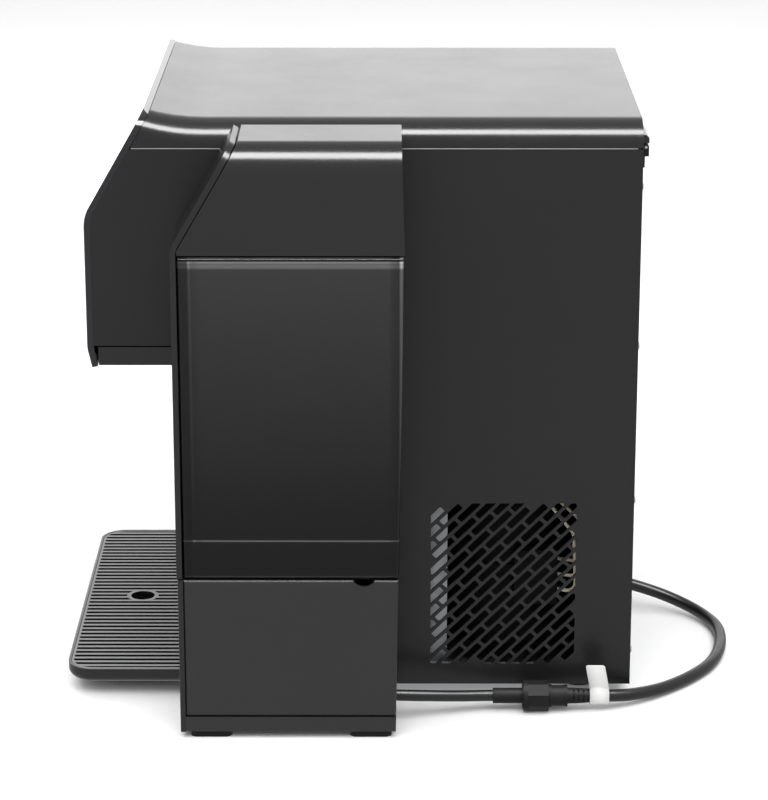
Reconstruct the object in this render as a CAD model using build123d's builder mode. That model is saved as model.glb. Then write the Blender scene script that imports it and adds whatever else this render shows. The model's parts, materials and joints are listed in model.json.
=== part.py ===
"""Countertop nugget ice maker with a water tank standing at its side.

Millimetres, +Z up.  The origin is on the worktop, below the middle of the whole appliance.
The face with the ice mouth looks along -Y and the side tank stands on the +X side.
"""
from build123d import *

import os
from math import cos, radians, sin, sqrt, tan

os.makedirs("parts", exist_ok=True)

# ---------------------------------------------------------------- driving dimensions
body_w = 306.0        # machine body, side to side
body_top = 435.0      # flat of the top cover above the worktop
overall_d = 423.0     # front of the drip tray to the back of the hinges
hinge_d = 4.5         # the hinges stand this far behind the rear panel
head_d = 395.2        # face of the front panel to the rear panel
recess_d = 311.0      # wall behind the cup space to the rear panel
foot_h = 11.0         # body clear of the worktop
sheet = 2.0           # side, rear and recess panels
skin = 2.5            # moulded covers
seam = 1.0            # open seam between neighbouring covers
roll_w = 23.0         # rolled side edges of the cover: width
roll_h = 16.6         # and height
cover_h = 18.4        # depth of the top cover below its flat
flare_h = 6.2         # the cover rises this much to meet the front panel
flare_d = 42.0        # length of that rise
front_t = 4.5         # glossy front panel
slant_angle = 30.0    # upper part of the front panel, from the vertical
slant_h = 73.9        # height of that slanted part
head_h = 109.9        # height of the upright part, down to the underside of the head
bend_r = 30.0         # bend between the two parts
lip_over = 0.2        # the panel's top edge stands this much above the cover
chin_h = 13.8         # height of the head's bottom cover
fit = 0.3             # clearance between pieces that move past each other
running = 0.05        # radial clearance of a pin in its bore

tank_gap = 1.0        # side tank clear of the machine
tank_w = 74.4
tank_front_d = 324.6  # front of the side tank's body to the rear panel
tank_depth = 156.7    # side tank, at the foot of its cap
tank_top = 434.1
cap_z = 358.0         # foot of the tank's cap
base_z = 122.0        # top of the tank's base
foot_seam_z = 16.9    # seam between the base and its bottom cover
base_foot = 5.0       # height of the tank's foot pads
tank_edge_r = 23.0
tank_draft = 0.0164   # the rear face leans in by this much per millimetre of height
strip_t = 4.0         # face strip of the tank
strip_gap = 0.5
tank_wall = 2.5
tank_slant_angle = 30.2  # upper part of the face strip, from the vertical
tank_bend_over = 5.0  # the strip bends this much above the foot of the cap
tank_bend_r = 16.0

# ---------------------------------------------------------------- places worked out from them
left_x = -(body_w + tank_gap + tank_w) / 2
right_x = left_x + body_w
mid_x = left_x + body_w / 2
rear_y = overall_d / 2 - hinge_d
head_y = rear_y - head_d
panel_gap = 0.1
cheek_y = head_y + front_t + panel_gap
recess_y = rear_y - recess_d
tray_y = -overall_d / 2
seam_z = body_top - cover_h
lip_z = body_top + flare_h + lip_over
bend_z = lip_z - slant_h
chin_z = bend_z - head_h
in_left = left_x + sheet
in_right = right_x - sheet
slant = tan(radians(slant_angle))
back_y = rear_y - sheet

tank_in = right_x + tank_gap
tank_out = tank_in + tank_w
tank_y = rear_y - tank_front_d
tank_back = tank_y + tank_depth
tank_mid_x = (tank_in + tank_out) / 2


def slanted_y(z, behind=0.0):
    """Y of the slanted front at a height, a given distance behind the panel's face."""
    lean = behind / cos(radians(slant_angle))
    return head_y + lean + (z - bend_z) * slant


def side_view(x):
    """Sketch plane seen from the right: +Y across, +Z up, extruding along +X."""
    return Plane(origin=(x, 0, 0), x_dir=(0, 1, 0), z_dir=(1, 0, 0))


def front_view(y):
    """Sketch plane seen from the front: +X across, +Z up, extruding along -Y."""
    return Plane(origin=(0, y, 0), x_dir=(1, 0, 0), z_dir=(0, -1, 0))


def block(low, high, mode=Mode.ADD):
    """A rectangular block between two opposite corners."""
    size = [b - a for a, b in zip(low, high)]
    middle = tuple((a + b) / 2 for a, b in zip(low, high))
    with Locations(middle):
        Box(*size, mode=mode)


def rod(start, end, radius, mode=Mode.ADD):
    """A round rod, or a round hole, from one point to another."""
    axis = Vector(*end) - Vector(*start)
    with BuildSketch(Plane(origin=start, z_dir=axis)) as section:
        Circle(radius)
    extrude(section.sketch, amount=axis.length, mode=mode)


def parallel(points, gap):
    """The same broken line moved sideways by a gap, to the left of its direction."""
    line = [Vector(*p) for p in points]
    moved = []
    for i, point in enumerate(line):
        before = (line[i] - line[i - 1]).normalized() if i > 0 else None
        after = (line[i + 1] - line[i]).normalized() if i < len(line) - 1 else None
        before = before or after
        after = after or before
        left = Vector(-before.Y - after.Y, before.X + after.X).normalized()
        half = (before.X * after.X + before.Y * after.Y + 1) / 2
        moved.append(point + left * (gap / sqrt(half)))
    return [(p.X, p.Y) for p in moved]


def rolled_outline(y, half, bottom, top, inset):
    """An upright outline across the machine whose upper corners roll over into the sides."""
    across = roll_w - inset
    down = min(roll_h - inset, top - bottom - 0.5)
    with BuildSketch(front_view(y)) as outline:
        with BuildLine():
            Polyline(
                (mid_x - half, top - down),
                (mid_x - half, bottom),
                (mid_x + half, bottom),
                (mid_x + half, top - down),
            )
            EllipticalCenterArc((mid_x + half - across, top - down), across, down, arc_size=90)
            Line((mid_x + half - across, top), (mid_x - half + across, top))
            EllipticalCenterArc((mid_x - half + across, top - down), across, down, 90, arc_size=90)
        make_face()
    return outline.sketch


def bent_sheet(points, radii, thickness):
    """Cross-section of a bent sheet: the points run down its outer face, the sheet lies to the left."""
    inner = parallel(points, thickness)
    inner_radii = [max(r - thickness, 1.0) for r in radii]
    with BuildLine() as outline:
        outer_edge = FilletPolyline(*points, radius=radii)
        inner_edge = FilletPolyline(*inner, radius=inner_radii)
        Line(outer_edge @ 0, inner_edge @ 0)
        Line(outer_edge @ 1, inner_edge @ 1)
    make_face(outline.edges())


def arc_radii(points):
    """Radius at each corner of a cord: as large as its two runs allow."""
    line = [Vector(*p) for p in points]
    radii = []
    for before, corner, after in zip(line, line[1:], line[2:]):
        turn = (corner - before).get_angle(after - corner)
        run = min((corner - before).length, (after - corner).length)
        radii.append(0.45 * run / tan(radians(turn) / 2))
    return radii


def tube_along(points, radii, radius, mode=Mode.ADD):
    """A round tube along straight runs joined by tangent arcs."""
    with BuildLine() as route:
        FilletPolyline(*points, radius=radii)
    path = route.wires()[0]
    with BuildSketch(Plane(origin=path @ 0, z_dir=path % 0)) as section:
        Circle(radius)
    sweep(section.sketch, path=path, mode=mode)
    return path.length


# ================================================================ frame and casing
pan_t = 2.5
pan_flange = 16.0
pan_floor = foot_h + pan_t

# Two tongues of the drip tray slide through slots in the recess panel and the pan.
tongue_w = 20.0
tongue_t = 2.0
tongue_z = foot_h + 6.0
tongue_reach = 9.0
tongue_span = 120.0
tongue_xs = (mid_x - tongue_span / 2, mid_x + tongue_span / 2)


def tongue_slots():
    """Cuts the tongues' slots through whatever stands behind the tray."""
    for x in tongue_xs:
        low = (x - tongue_w / 2 - 1, recess_y - 1, tongue_z - 1)
        high = (x + tongue_w / 2 + 1, recess_y + tongue_reach + 4, tongue_z + tongue_t + 1)
        block(low, high, mode=Mode.SUBTRACT)


# The hose from the side tank enters through a gland low in the rear wall.
gland_x = mid_x - 28.3
gland_z = foot_h + 13.0
gland_r = 9.0
gland_rim = 3.0
with BuildPart() as base_pan:
    pan_low = (in_left, recess_y + sheet, foot_h)
    pan_high = (in_right, back_y, foot_h + pan_flange)
    block(pan_low, pan_high)
    inside_low = (in_left + pan_t, recess_y + sheet + pan_t, pan_floor)
    inside_high = (in_right - pan_t, back_y - pan_t, foot_h + pan_flange)
    block(inside_low, inside_high, mode=Mode.SUBTRACT)
    tongue_slots()
    rod((gland_x, back_y - pan_t - 1, gland_z), (gland_x, back_y + 1, gland_z), gland_r + 1,
        mode=Mode.SUBTRACT)
base_pan.part.label = "base_pan"
export_step(base_pan.part, "parts/base_pan.step")


def side_outline():
    """Outline of a side panel: the body, with the head reaching out over the tray."""
    top = seam_z - seam / 2
    chin = chin_z + chin_h + seam
    behind = front_t + panel_gap
    cheek_bend = bend_z - behind * tan(radians(slant_angle / 2))
    with BuildLine() as outline:
        FilletPolyline(
            (rear_y, foot_h),
            (rear_y, top),
            (slanted_y(top, behind), top),
            (cheek_y, cheek_bend),
            (cheek_y, chin),
            (recess_y, chin),
            (recess_y, foot_h),
            radius=[0, 0, 0, bend_r - front_t, 0, 0, 0],
            close=True,
        )
    make_face(outline.edges())


# Air openings: slanted slots laid like bricks inside a rectangle with two clipped corners.
vent_d = 106.5
vent_h = 126.2
vent_back = 41.7      # rear edge of the grille to the rear panel
vent_low = 26.7
slot_l = 19.7
slot_w = 5.1
slot_row = 7.3
slot_step = 22.1
slot_angle = 45.0
vent_clip = 7.0


def vent_slots(plane, centre):
    """Slanted slots clipped to the grille's rectangle, as one sketch."""
    half_d = vent_d / 2
    half_h = vent_h / 2
    turn = radians(slot_angle)
    reach = int((vent_d + vent_h) / slot_row / 1.4) + 2
    spots = []
    for row in range(-reach, reach + 1):
        for column in range(-reach, reach + 1):
            along = (column + 0.5 * (row % 2)) * slot_step
            across = row * slot_row
            u = along * cos(turn) - across * sin(turn)
            v = along * sin(turn) + across * cos(turn)
            if abs(u) < half_d + 4 and abs(v) < half_h + 4:
                spots.append((centre[0] + u, centre[1] + v))
    corners = [
        (-half_d, -half_h),
        (half_d - vent_clip, -half_h),
        (half_d, -half_h + vent_clip),
        (half_d, half_h),
        (-half_d + vent_clip, half_h),
        (-half_d, half_h - vent_clip),
    ]
    with BuildSketch(plane) as slots:
        with Locations(*spots):
            RectangleRounded(slot_l, slot_w, 1.2, rotation=slot_angle)
        with BuildLine():
            Polyline(*[(centre[0] + u, centre[1] + v) for u, v in corners], close=True)
        make_face(mode=Mode.INTERSECT)
    return slots.sketch


vent_centre = (rear_y - vent_back - vent_d / 2, vent_low + vent_h / 2)

with BuildPart() as right_side_panel:
    with BuildSketch(side_view(in_right)):
        side_outline()
    extrude(amount=sheet)
    extrude(vent_slots(side_view(in_right), vent_centre), amount=sheet, mode=Mode.SUBTRACT)
right_side_panel.part.label = "right_side_panel"
export_step(right_side_panel.part, "parts/right_side_panel.step")

condenser_y = rear_y - 142.0
outlet_z = vent_low + vent_h / 2 + 15.0
with BuildPart() as left_side_panel:
    with BuildSketch(side_view(left_x)):
        side_outline()
    extrude(amount=sheet)
    outlet_slots = vent_slots(side_view(left_x), (condenser_y, outlet_z))
    extrude(outlet_slots, amount=sheet, mode=Mode.SUBTRACT)
left_side_panel.part.label = "left_side_panel"
export_step(left_side_panel.part, "parts/left_side_panel.step")

# Rear panel, with its row of air slots, the power inlet, the hose gland and the drain.
inlet_x = left_x + 38.0
inlet_z = foot_h + 62.0
inlet_w = 48.0
inlet_h = 27.5
drain_x = mid_x + 70.0
drain_z = foot_h + 28.0
drain_r = 7.0
hinge_xs = (left_x + 40.0, right_x - 24.0)
louvre_z = foot_h + 240.0
louvre_rows = 7
louvre_columns = 8
with BuildPart() as rear_panel:
    block((in_left, back_y, foot_h), (in_right, rear_y, seam_z - seam / 2))
    with BuildSketch(front_view(rear_y)):
        with Locations((mid_x, louvre_z)):
            with GridLocations(26.0, 13.0, louvre_columns, louvre_rows):
                SlotOverall(20, 5.5)
        with Locations((inlet_x, inlet_z)):
            Rectangle(inlet_w, inlet_h)
        with Locations((gland_x, gland_z)):
            Circle(gland_r)
        with Locations((drain_x, drain_z)):
            Circle(drain_r + 2 + fit)
    extrude(amount=sheet, mode=Mode.SUBTRACT)
rear_panel.part.label = "rear_panel"
export_step(rear_panel.part, "parts/rear_panel.step")

recess_top = chin_z + chin_h + 8.0
with BuildPart() as recess_panel:
    block((in_left, recess_y, foot_h), (in_right, recess_y + sheet, recess_top))
    tongue_slots()
recess_panel.part.label = "recess_panel"
export_step(recess_panel.part, "parts/recess_panel.step")

# ---------------------------------------------------------------- front panel
toe_h = 13.0          # the panel's foot curls back over this height
toe_back = 3.2
toe_under = 1.4       # and ends this far below the head
panel_points = [
    (slanted_y(lip_z), lip_z),
    (head_y, bend_z),
    (head_y, chin_z + toe_h),
    (head_y + toe_back, chin_z - toe_under),
]
panel_radii = [bend_r, 22.0]
with BuildPart() as front_panel:
    with BuildSketch(side_view(left_x)):
        bent_sheet(panel_points, panel_radii, front_t)
    extrude(amount=body_w)
    extrude(rolled_outline(rear_y, body_w / 2, chin_z - 10, lip_z, 0), amount=head_d + 10,
            mode=Mode.INTERSECT)
front_panel.part.label = "front_panel"
export_step(front_panel.part, "parts/front_panel.step")

module_w = 150.0
module_h = 40.0
module_t = 9.0
module_z = bend_z + 24.0
module_y = slanted_y(module_z, front_t + 2 * panel_gap)
slant_out = Vector(0, -cos(radians(slant_angle)), sin(radians(slant_angle)))
module_plane = Plane(origin=(mid_x, module_y, module_z), x_dir=(1, 0, 0), z_dir=slant_out)
with BuildPart() as display_module:
    with BuildSketch(module_plane):
        RectangleRounded(module_w, module_h, 4)
    extrude(amount=-module_t)
display_module.part.label = "display_module"
export_step(display_module.part, "parts/display_module.step")

# ---------------------------------------------------------------- underside of the head
mouth_w = 62.0
mouth_d = 34.0
mouth_y = recess_y - 42.0
lever_y = recess_y - 15.5
lever_w = 40.0
lever_pin_r = 2.0
pivot_z = chin_z + skin + 6.0
bearing_x = lever_w / 2 + 5.0
chin_y = cheek_y + toe_back + 0.2
with BuildPart() as head_bottom_cover:
    cover_low = (left_x, chin_y, chin_z)
    cover_high = (right_x, recess_y, chin_z + chin_h)
    block(cover_low, cover_high)
    inside_low = (left_x + skin, chin_y + skin, chin_z + skin)
    inside_high = (right_x - skin, recess_y - skin, chin_z + chin_h)
    block(inside_low, inside_high, mode=Mode.SUBTRACT)
    with BuildSketch(Plane.XY.offset(chin_z)):
        with Locations((mid_x, mouth_y)):
            RectangleRounded(mouth_w + 2 * fit, mouth_d + 2 * fit, 3)
        with Locations((mid_x, lever_y)):
            Rectangle(lever_w + 4, 15)
    extrude(amount=skin, mode=Mode.SUBTRACT)
    lower_sides = head_bottom_cover.edges().group_by(Axis.Z)[0].filter_by(Axis.Y).group_by(Axis.X)
    fillet(lower_sides[0] + lower_sides[-1], 1.2)
    for side in (-1, 1):
        x = mid_x + side * bearing_x
        block((x - 2, lever_y - 5, chin_z + skin), (x + 2, lever_y + 5, pivot_z + 5))
    rod((mid_x - bearing_x - 4, lever_y, pivot_z), (mid_x + bearing_x + 4, lever_y, pivot_z),
        lever_pin_r + running, mode=Mode.SUBTRACT)
head_bottom_cover.part.label = "head_bottom_cover"
export_step(head_bottom_cover.part, "parts/head_bottom_cover.step")

# ---------------------------------------------------------------- top cover, hinged at the back
cover_low_z = seam_z + seam / 2
hinge_y = rear_y + hinge_d / 2
hinge_z = seam_z - 0.4
hinge_w = 34.0
hinge_slot = 1.2
knuckle_r = hinge_d / 2 - 0.1
flare_start = slanted_y(lip_z) + flare_d


def cover_top(y):
    """Height of the cover: flat, then rising smoothly to the front panel's lip."""
    rise = max(0.0, (flare_start - y) / flare_d)
    return body_top + flare_h * rise * rise


def cover_section(y, inset):
    """Cross-section of the cover, inset by a wall."""
    bottom = cover_low_z if inset == 0 else cover_low_z - 2
    return rolled_outline(y, body_w / 2 - inset, bottom, cover_top(y) - inset, inset)


cover_front = slanted_y(cover_low_z) - 6
flare_parts = 6
flare_step = (flare_start - cover_front) / flare_parts
flare_ys = [flare_start - flare_step * i for i in range(flare_parts + 1)]


def front_cut(behind):
    """Cuts away all that is ahead of a plane parallel to the slanted front."""
    with BuildSketch(side_view(left_x - 5)) as ahead:
        with BuildLine():
            Polyline(
                (slanted_y(seam_z - 20, behind), seam_z - 20),
                (slanted_y(lip_z + 30, behind), lip_z + 30),
                (head_y - 60, lip_z + 30),
                (head_y - 60, seam_z - 20),
                close=True,
            )
        make_face()
    extrude(ahead.sketch, amount=body_w + 10, mode=Mode.SUBTRACT)


with BuildPart() as cover_hollow:
    loft([cover_section(y, skin) for y in [back_y - 0.5] + flare_ys], ruled=True)
    front_cut(front_t + fit + skin + 0.5)

with BuildPart() as top_cover:
    loft([cover_section(y, 0) for y in [rear_y] + flare_ys], ruled=True)
    front_cut(front_t + fit)
    add(cover_hollow.part, mode=Mode.SUBTRACT)
    for x in hinge_xs:
        low = (x - hinge_w / 2 - 0.5, rear_y - hinge_slot, cover_low_z - 1)
        high = (x + hinge_w / 2 + 0.5, rear_y + 1, hinge_z + knuckle_r + 0.6)
        block(low, high, mode=Mode.SUBTRACT)
top_cover.part.label = "top_cover"
export_step(top_cover.part, "parts/top_cover.step")

# Hinges: ears fixed to the rear panel hold the pin, and a pad on the cover carries the knuckle.
ear_w = 7.0
leaf_w = hinge_w - 2 * ear_w - 2 * fit
pin_r = 1.0
ear_h = 6.5
bracket_h = 8.0
bracket_t = 1.6
pad_low = hinge_z + knuckle_r + 0.8
pad_h = 6.0
with BuildPart() as hinge_brackets:
    for x in hinge_xs:
        for side in (-1, 1):
            ear_x = x + side * (hinge_w - ear_w) / 2
            low_x = ear_x - ear_w / 2
            high_x = ear_x + ear_w / 2
            block((low_x, rear_y, hinge_z - ear_h), (high_x, hinge_y + knuckle_r, hinge_z))
            rod((low_x, hinge_y, hinge_z), (high_x, hinge_y, hinge_z), knuckle_r)
        plate_low = (x - hinge_w / 2, rear_y, hinge_z - ear_h - bracket_h)
        plate_high = (x + hinge_w / 2, rear_y + bracket_t, hinge_z - ear_h)
        block(plate_low, plate_high)
        rod((x - hinge_w / 2 - 1, hinge_y, hinge_z), (x + hinge_w / 2 + 1, hinge_y, hinge_z), pin_r,
            mode=Mode.SUBTRACT)
hinge_brackets.part.label = "hinge_brackets"
export_step(hinge_brackets.part, "parts/hinge_brackets.step")

with BuildPart() as hinge_pins:
    for x in hinge_xs:
        rod((x - hinge_w / 2, hinge_y, hinge_z), (x + hinge_w / 2, hinge_y, hinge_z), pin_r)
hinge_pins.part.label = "hinge_pins"
export_step(hinge_pins.part, "parts/hinge_pins.step")

with BuildPart() as hinge_leaves:
    for x in hinge_xs:
        rod((x - leaf_w / 2, hinge_y, hinge_z), (x + leaf_w / 2, hinge_y, hinge_z), knuckle_r)
        block((x - leaf_w / 2, hinge_y - knuckle_r + 0.1, hinge_z),
              (x + leaf_w / 2, hinge_y + 1.2, pad_low + 1))
        block((x - hinge_w / 2, rear_y, pad_low), (x + hinge_w / 2, rear_y + hinge_d, pad_low + pad_h))
        rod((x - leaf_w, hinge_y, hinge_z), (x + leaf_w, hinge_y, hinge_z), pin_r + running,
            mode=Mode.SUBTRACT)
    pad_tops = hinge_leaves.edges().group_by(Axis.Z)[-1].filter_by(Axis.X).group_by(Axis.Y)[-1]
    chamfer(pad_tops, hinge_d / 2)
hinge_leaves.part.label = "hinge_leaves"
export_step(hinge_leaves.part, "parts/hinge_leaves.step")

# ================================================================ ice bin and its outlet
bin_w = body_w - 56.0
bin_front = recess_y - 6.0
bin_back = bin_front + recess_d - 115.0
bin_rim_z = seam_z - 5.0
bin_wall = 3.0
trough_r = 31.0
trough_z = recess_top + 4.2 + trough_r
slope_z = trough_z + 30.0
bin_flange = 6.0
frame_t = 3.0
outlet_r = trough_r - 7.0
inlet_port_x = mid_x - 62.0
port_w = 40.0
port_h = 34.0
port_z = trough_z + 52.0
shaft_r = 5.0


def bin_section(inset):
    """Cross-section of the bin: upright sides, a sloping floor and a round trough for the agitator."""
    half = bin_w / 2 - inset
    r = trough_r - inset
    with BuildLine() as outline:
        Polyline(
            (mid_x - r, trough_z),
            (mid_x - r, trough_z + 8),
            (mid_x - half, slope_z + inset),
            (mid_x - half, bin_rim_z),
            (mid_x + half, bin_rim_z),
            (mid_x + half, slope_z + inset),
            (mid_x + r, trough_z + 8),
            (mid_x + r, trough_z),
        )
        CenterArc((mid_x, trough_z), r, 180, 180)
    with BuildSketch(Plane.XZ) as section:
        make_face(outline.edges())
    return section.sketch


with BuildPart() as ice_bin:
    extrude(bin_section(0).moved(Location((0, bin_back, 0))), amount=bin_back - bin_front)
    inner = bin_section(bin_wall).moved(Location((0, bin_back - bin_wall, 0)))
    extrude(inner, amount=bin_back - bin_front - 2 * bin_wall, mode=Mode.SUBTRACT)
    half_w = bin_w / 2
    block((mid_x - half_w - bin_flange, bin_front - 3, bin_rim_z - bin_wall),
          (mid_x + half_w + bin_flange, bin_back + bin_flange, bin_rim_z))
    block((mid_x - half_w + bin_wall, bin_front + bin_wall, bin_rim_z - 2 * bin_wall),
          (mid_x + half_w - bin_wall, bin_back - bin_wall, bin_rim_z + 1), mode=Mode.SUBTRACT)
    rod((mid_x, bin_front - 1, trough_z), (mid_x, bin_front + bin_wall + 1, trough_z), outlet_r,
        mode=Mode.SUBTRACT)
    rod((mid_x, bin_back - bin_wall - 1, trough_z), (mid_x, bin_back + 1, trough_z),
        shaft_r + running, mode=Mode.SUBTRACT)
    block((inlet_port_x - port_w / 2, bin_back - bin_wall - 1, port_z - port_h / 2),
          (inlet_port_x + port_w / 2, bin_back + 1, port_z + port_h / 2), mode=Mode.SUBTRACT)
ice_bin.part.label = "ice_bin"
export_step(ice_bin.part, "parts/ice_bin.step")

# Deck that the bin hangs in; it closes the top of the body under the cover.
deck_z = bin_rim_z - bin_wall
with BuildPart() as top_deck:
    block((in_left, slanted_y(deck_z, front_t + module_t + 2), deck_z - frame_t),
          (in_right, back_y, deck_z))
    block((mid_x - bin_w / 2 - fit, bin_front - fit, deck_z - frame_t - 1),
          (mid_x + bin_w / 2 + fit, bin_back + fit, deck_z + 1), mode=Mode.SUBTRACT)
top_deck.part.label = "top_deck"
export_step(top_deck.part, "parts/top_deck.step")

# Agitator: tilted paddles on a shaft along the trough push the ice to the front outlet.
paddle_r = trough_r - bin_wall - 2.5
paddle_t = 3.5
paddle_count = 9
paddle_turn = 80.0    # each paddle is turned this much from the one before it
with BuildPart() as bin_agitator:
    rod((mid_x, bin_front + 8, trough_z), (mid_x, bin_back + 12, trough_z), shaft_r)
    paddle_step = (bin_back - bin_front - 36) / (paddle_count - 1)
    for i in range(paddle_count):
        y = bin_front + 18 + i * paddle_step
        spin = i * paddle_turn
        paddle_plane = Plane(
            origin=(mid_x, y, trough_z),
            x_dir=(cos(radians(spin)), 0, sin(radians(spin))),
            z_dir=(0, -1, 0),
        )
        with BuildSketch(paddle_plane) as paddle:
            Circle(paddle_r)
            with Locations((0, -paddle_r * 0.62)):
                Rectangle(3 * paddle_r, 1.2 * paddle_r, mode=Mode.SUBTRACT)
        extrude(paddle.sketch, amount=paddle_t / 2, both=True)
bin_agitator.part.label = "bin_agitator"
export_step(bin_agitator.part, "parts/bin_agitator.step")

gearbox_r = 26.0
gearbox_d = 26.0
motor_r = 19.0
motor_d = 32.0
with BuildPart() as agitator_motor:
    gearbox_y = bin_back + gearbox_d
    rod((mid_x, bin_back + 0.6, trough_z), (mid_x, gearbox_y, trough_z), gearbox_r)
    rod((mid_x, gearbox_y, trough_z), (mid_x, gearbox_y + motor_d, trough_z), motor_r)
    rod((mid_x, bin_back - 1, trough_z), (mid_x, bin_back + 14, trough_z), shaft_r + running,
        mode=Mode.SUBTRACT)
agitator_motor.part.label = "agitator_motor"
export_step(agitator_motor.part, "parts/agitator_motor.step")

# ---------------------------------------------------------------- chute, flap and lever
chute_w = mouth_w - 2.0
chute_front = mouth_y - mouth_d / 2 + 1
chute_back = mouth_y + mouth_d / 2 - 1
chute_top = trough_z + outlet_r + 6
chute_step = trough_z - trough_r + 2
chute_wall = 2.0
flap_pin_r = 1.5
with BuildPart() as chute:
    low = mid_x - chute_w / 2
    high = mid_x + chute_w / 2
    block((low, chute_front, chin_z + 1), (high, chute_back, chute_top))
    block((low, chute_back - 1, chute_step - chute_wall), (high, bin_front, chute_top))
    inner_low = low + chute_wall
    inner_high = high - chute_wall
    block((inner_low, chute_front + chute_wall, chin_z), (inner_high, chute_back - chute_wall,
          chute_top - chute_wall), mode=Mode.SUBTRACT)
    block((inner_low, chute_back - chute_wall - 1, chute_step),
          (inner_high, bin_front + 1, chute_top - chute_wall), mode=Mode.SUBTRACT)
    flap_z = chin_z + 12.0
    flap_hinge_y = chute_front + chute_wall + 3.4
    rod((low - 1, flap_hinge_y, flap_z), (high + 1, flap_hinge_y, flap_z), flap_pin_r + running,
        mode=Mode.SUBTRACT)
chute.part.label = "chute"
export_step(chute.part, "parts/chute.step")

with BuildPart() as chute_flap:
    flap_half = chute_w / 2 - chute_wall - 0.8
    rod((mid_x - chute_w / 2, flap_hinge_y, flap_z), (mid_x + chute_w / 2, flap_hinge_y, flap_z),
        flap_pin_r)
    rod((mid_x - flap_half, flap_hinge_y, flap_z), (mid_x + flap_half, flap_hinge_y, flap_z), 2.4)
    block((mid_x - flap_half, flap_hinge_y, flap_z - 1),
          (mid_x + flap_half, chute_back - chute_wall - 0.8, flap_z + 1))
chute_flap.part.label = "chute_flap"
export_step(chute_flap.part, "parts/chute_flap.step")

lever_len = 88.0
with BuildPart() as dispense_lever:
    rod((mid_x - bearing_x - 3, lever_y, pivot_z), (mid_x + bearing_x + 3, lever_y, pivot_z),
        lever_pin_r)
    rod((mid_x - lever_w / 2 + 3, lever_y, pivot_z), (mid_x + lever_w / 2 - 3, lever_y, pivot_z), 4.0)
    with BuildSketch(side_view(mid_x - lever_w / 2 + 3)):
        with BuildLine():
            Polyline(
                (lever_y - 1.5, pivot_z),
                (lever_y - 1.5, pivot_z - 26),
                (lever_y - 6.0, pivot_z - lever_len + 12),
                (lever_y - 2.0, pivot_z - lever_len),
                (lever_y + 1.0, pivot_z - lever_len + 1.5),
                (lever_y - 2.8, pivot_z - lever_len + 13),
                (lever_y + 1.5, pivot_z - 24),
                (lever_y + 1.5, pivot_z),
                close=True,
            )
        make_face()
    extrude(amount=lever_w - 6)
dispense_lever.part.label = "dispense_lever"
export_step(dispense_lever.part, "parts/dispense_lever.step")

# ================================================================ refrigeration
ev_x = inlet_port_x
ev_y = rear_y - 42.0
ev_r = 27.0
ev_bore_r = 19.5
ev_low = pan_floor + 76.0
ev_high = trough_z + 16.0
auger_r = 8.0
auger_reach = 18.0    # the auger's shaft enters its gearbox this far
gear_w = 76.0
gear_d = 68.0
gear_h = 44.0
with BuildPart() as gear_motor:
    block((ev_x - gear_w / 2, ev_y - gear_d / 2, pan_floor),
          (ev_x + gear_w / 2, ev_y + gear_d / 2, pan_floor + gear_h))
    rod((ev_x, ev_y, pan_floor + gear_h), (ev_x, ev_y, ev_low), ev_r + 3)
    rod((ev_x, ev_y, ev_low - auger_reach), (ev_x, ev_y, ev_low + 1), auger_r + running,
        mode=Mode.SUBTRACT)
    fillet(gear_motor.edges().filter_by(Axis.Z).group_by(Axis.Z)[0], 6)
gear_motor.part.label = "gear_motor"
export_step(gear_motor.part, "parts/gear_motor.step")

# Freezing cylinder, with the turns of its tube as rings round it.
ring_count = 9
with BuildPart() as evaporator:
    rod((ev_x, ev_y, ev_low), (ev_x, ev_y, ev_high), ev_r)
    rod((ev_x, ev_y, ev_low - 1), (ev_x, ev_y, ev_high + 1), ev_bore_r, mode=Mode.SUBTRACT)
    for i in range(ring_count):
        z = ev_low + 18 + i * (ev_high - ev_low - 36) / (ring_count - 1)
        with BuildSketch(Plane(origin=(ev_x, ev_y, z))) as ring:
            Circle(ev_r + 3)
            Circle(ev_r - 1, mode=Mode.SUBTRACT)
        extrude(ring.sketch, amount=6)
evaporator.part.label = "evaporator"
export_step(evaporator.part, "parts/evaporator.step")

screw_turns = 10
with BuildPart() as ice_auger:
    rod((ev_x, ev_y, ev_low - auger_reach + 2), (ev_x, ev_y, ev_high + 6), auger_r)
    for i in range(screw_turns):
        z = ev_low + 8 + i * (ev_high - ev_low - 24) / (screw_turns - 1)
        with BuildSketch(Plane(origin=(ev_x, ev_y, z), z_dir=(0.28, 0.0, 1.0))) as turn_of_screw:
            Circle(ev_bore_r - 1.1)
        extrude(turn_of_screw.sketch, amount=2.4)
ice_auger.part.label = "ice_auger"
export_step(ice_auger.part, "parts/ice_auger.step")

# Elbow that carries the ice from the freezing cylinder into the bin.
elbow_low = ev_high
elbow_high = port_z + port_h / 2
elbow_back = ev_y + 22.0
elbow_t = 2.0
with BuildPart() as ice_elbow:
    low_x = ev_x - port_w / 2
    high_x = ev_x + port_w / 2
    block((low_x, ev_y - ev_r, elbow_low), (high_x, elbow_back, elbow_high))
    block((low_x, bin_back, port_z - port_h / 2), (high_x, ev_y - ev_r + 1, elbow_high))
    block((low_x + elbow_t, bin_back - 1, port_z - port_h / 2 + elbow_t),
          (high_x - elbow_t, elbow_back - elbow_t, elbow_high - elbow_t), mode=Mode.SUBTRACT)
    rod((ev_x, ev_y, elbow_low - 1), (ev_x, ev_y, elbow_high - 3), ev_bore_r - 2,
        mode=Mode.SUBTRACT)
ice_elbow.part.label = "ice_elbow"
export_step(ice_elbow.part, "parts/ice_elbow.step")

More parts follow.
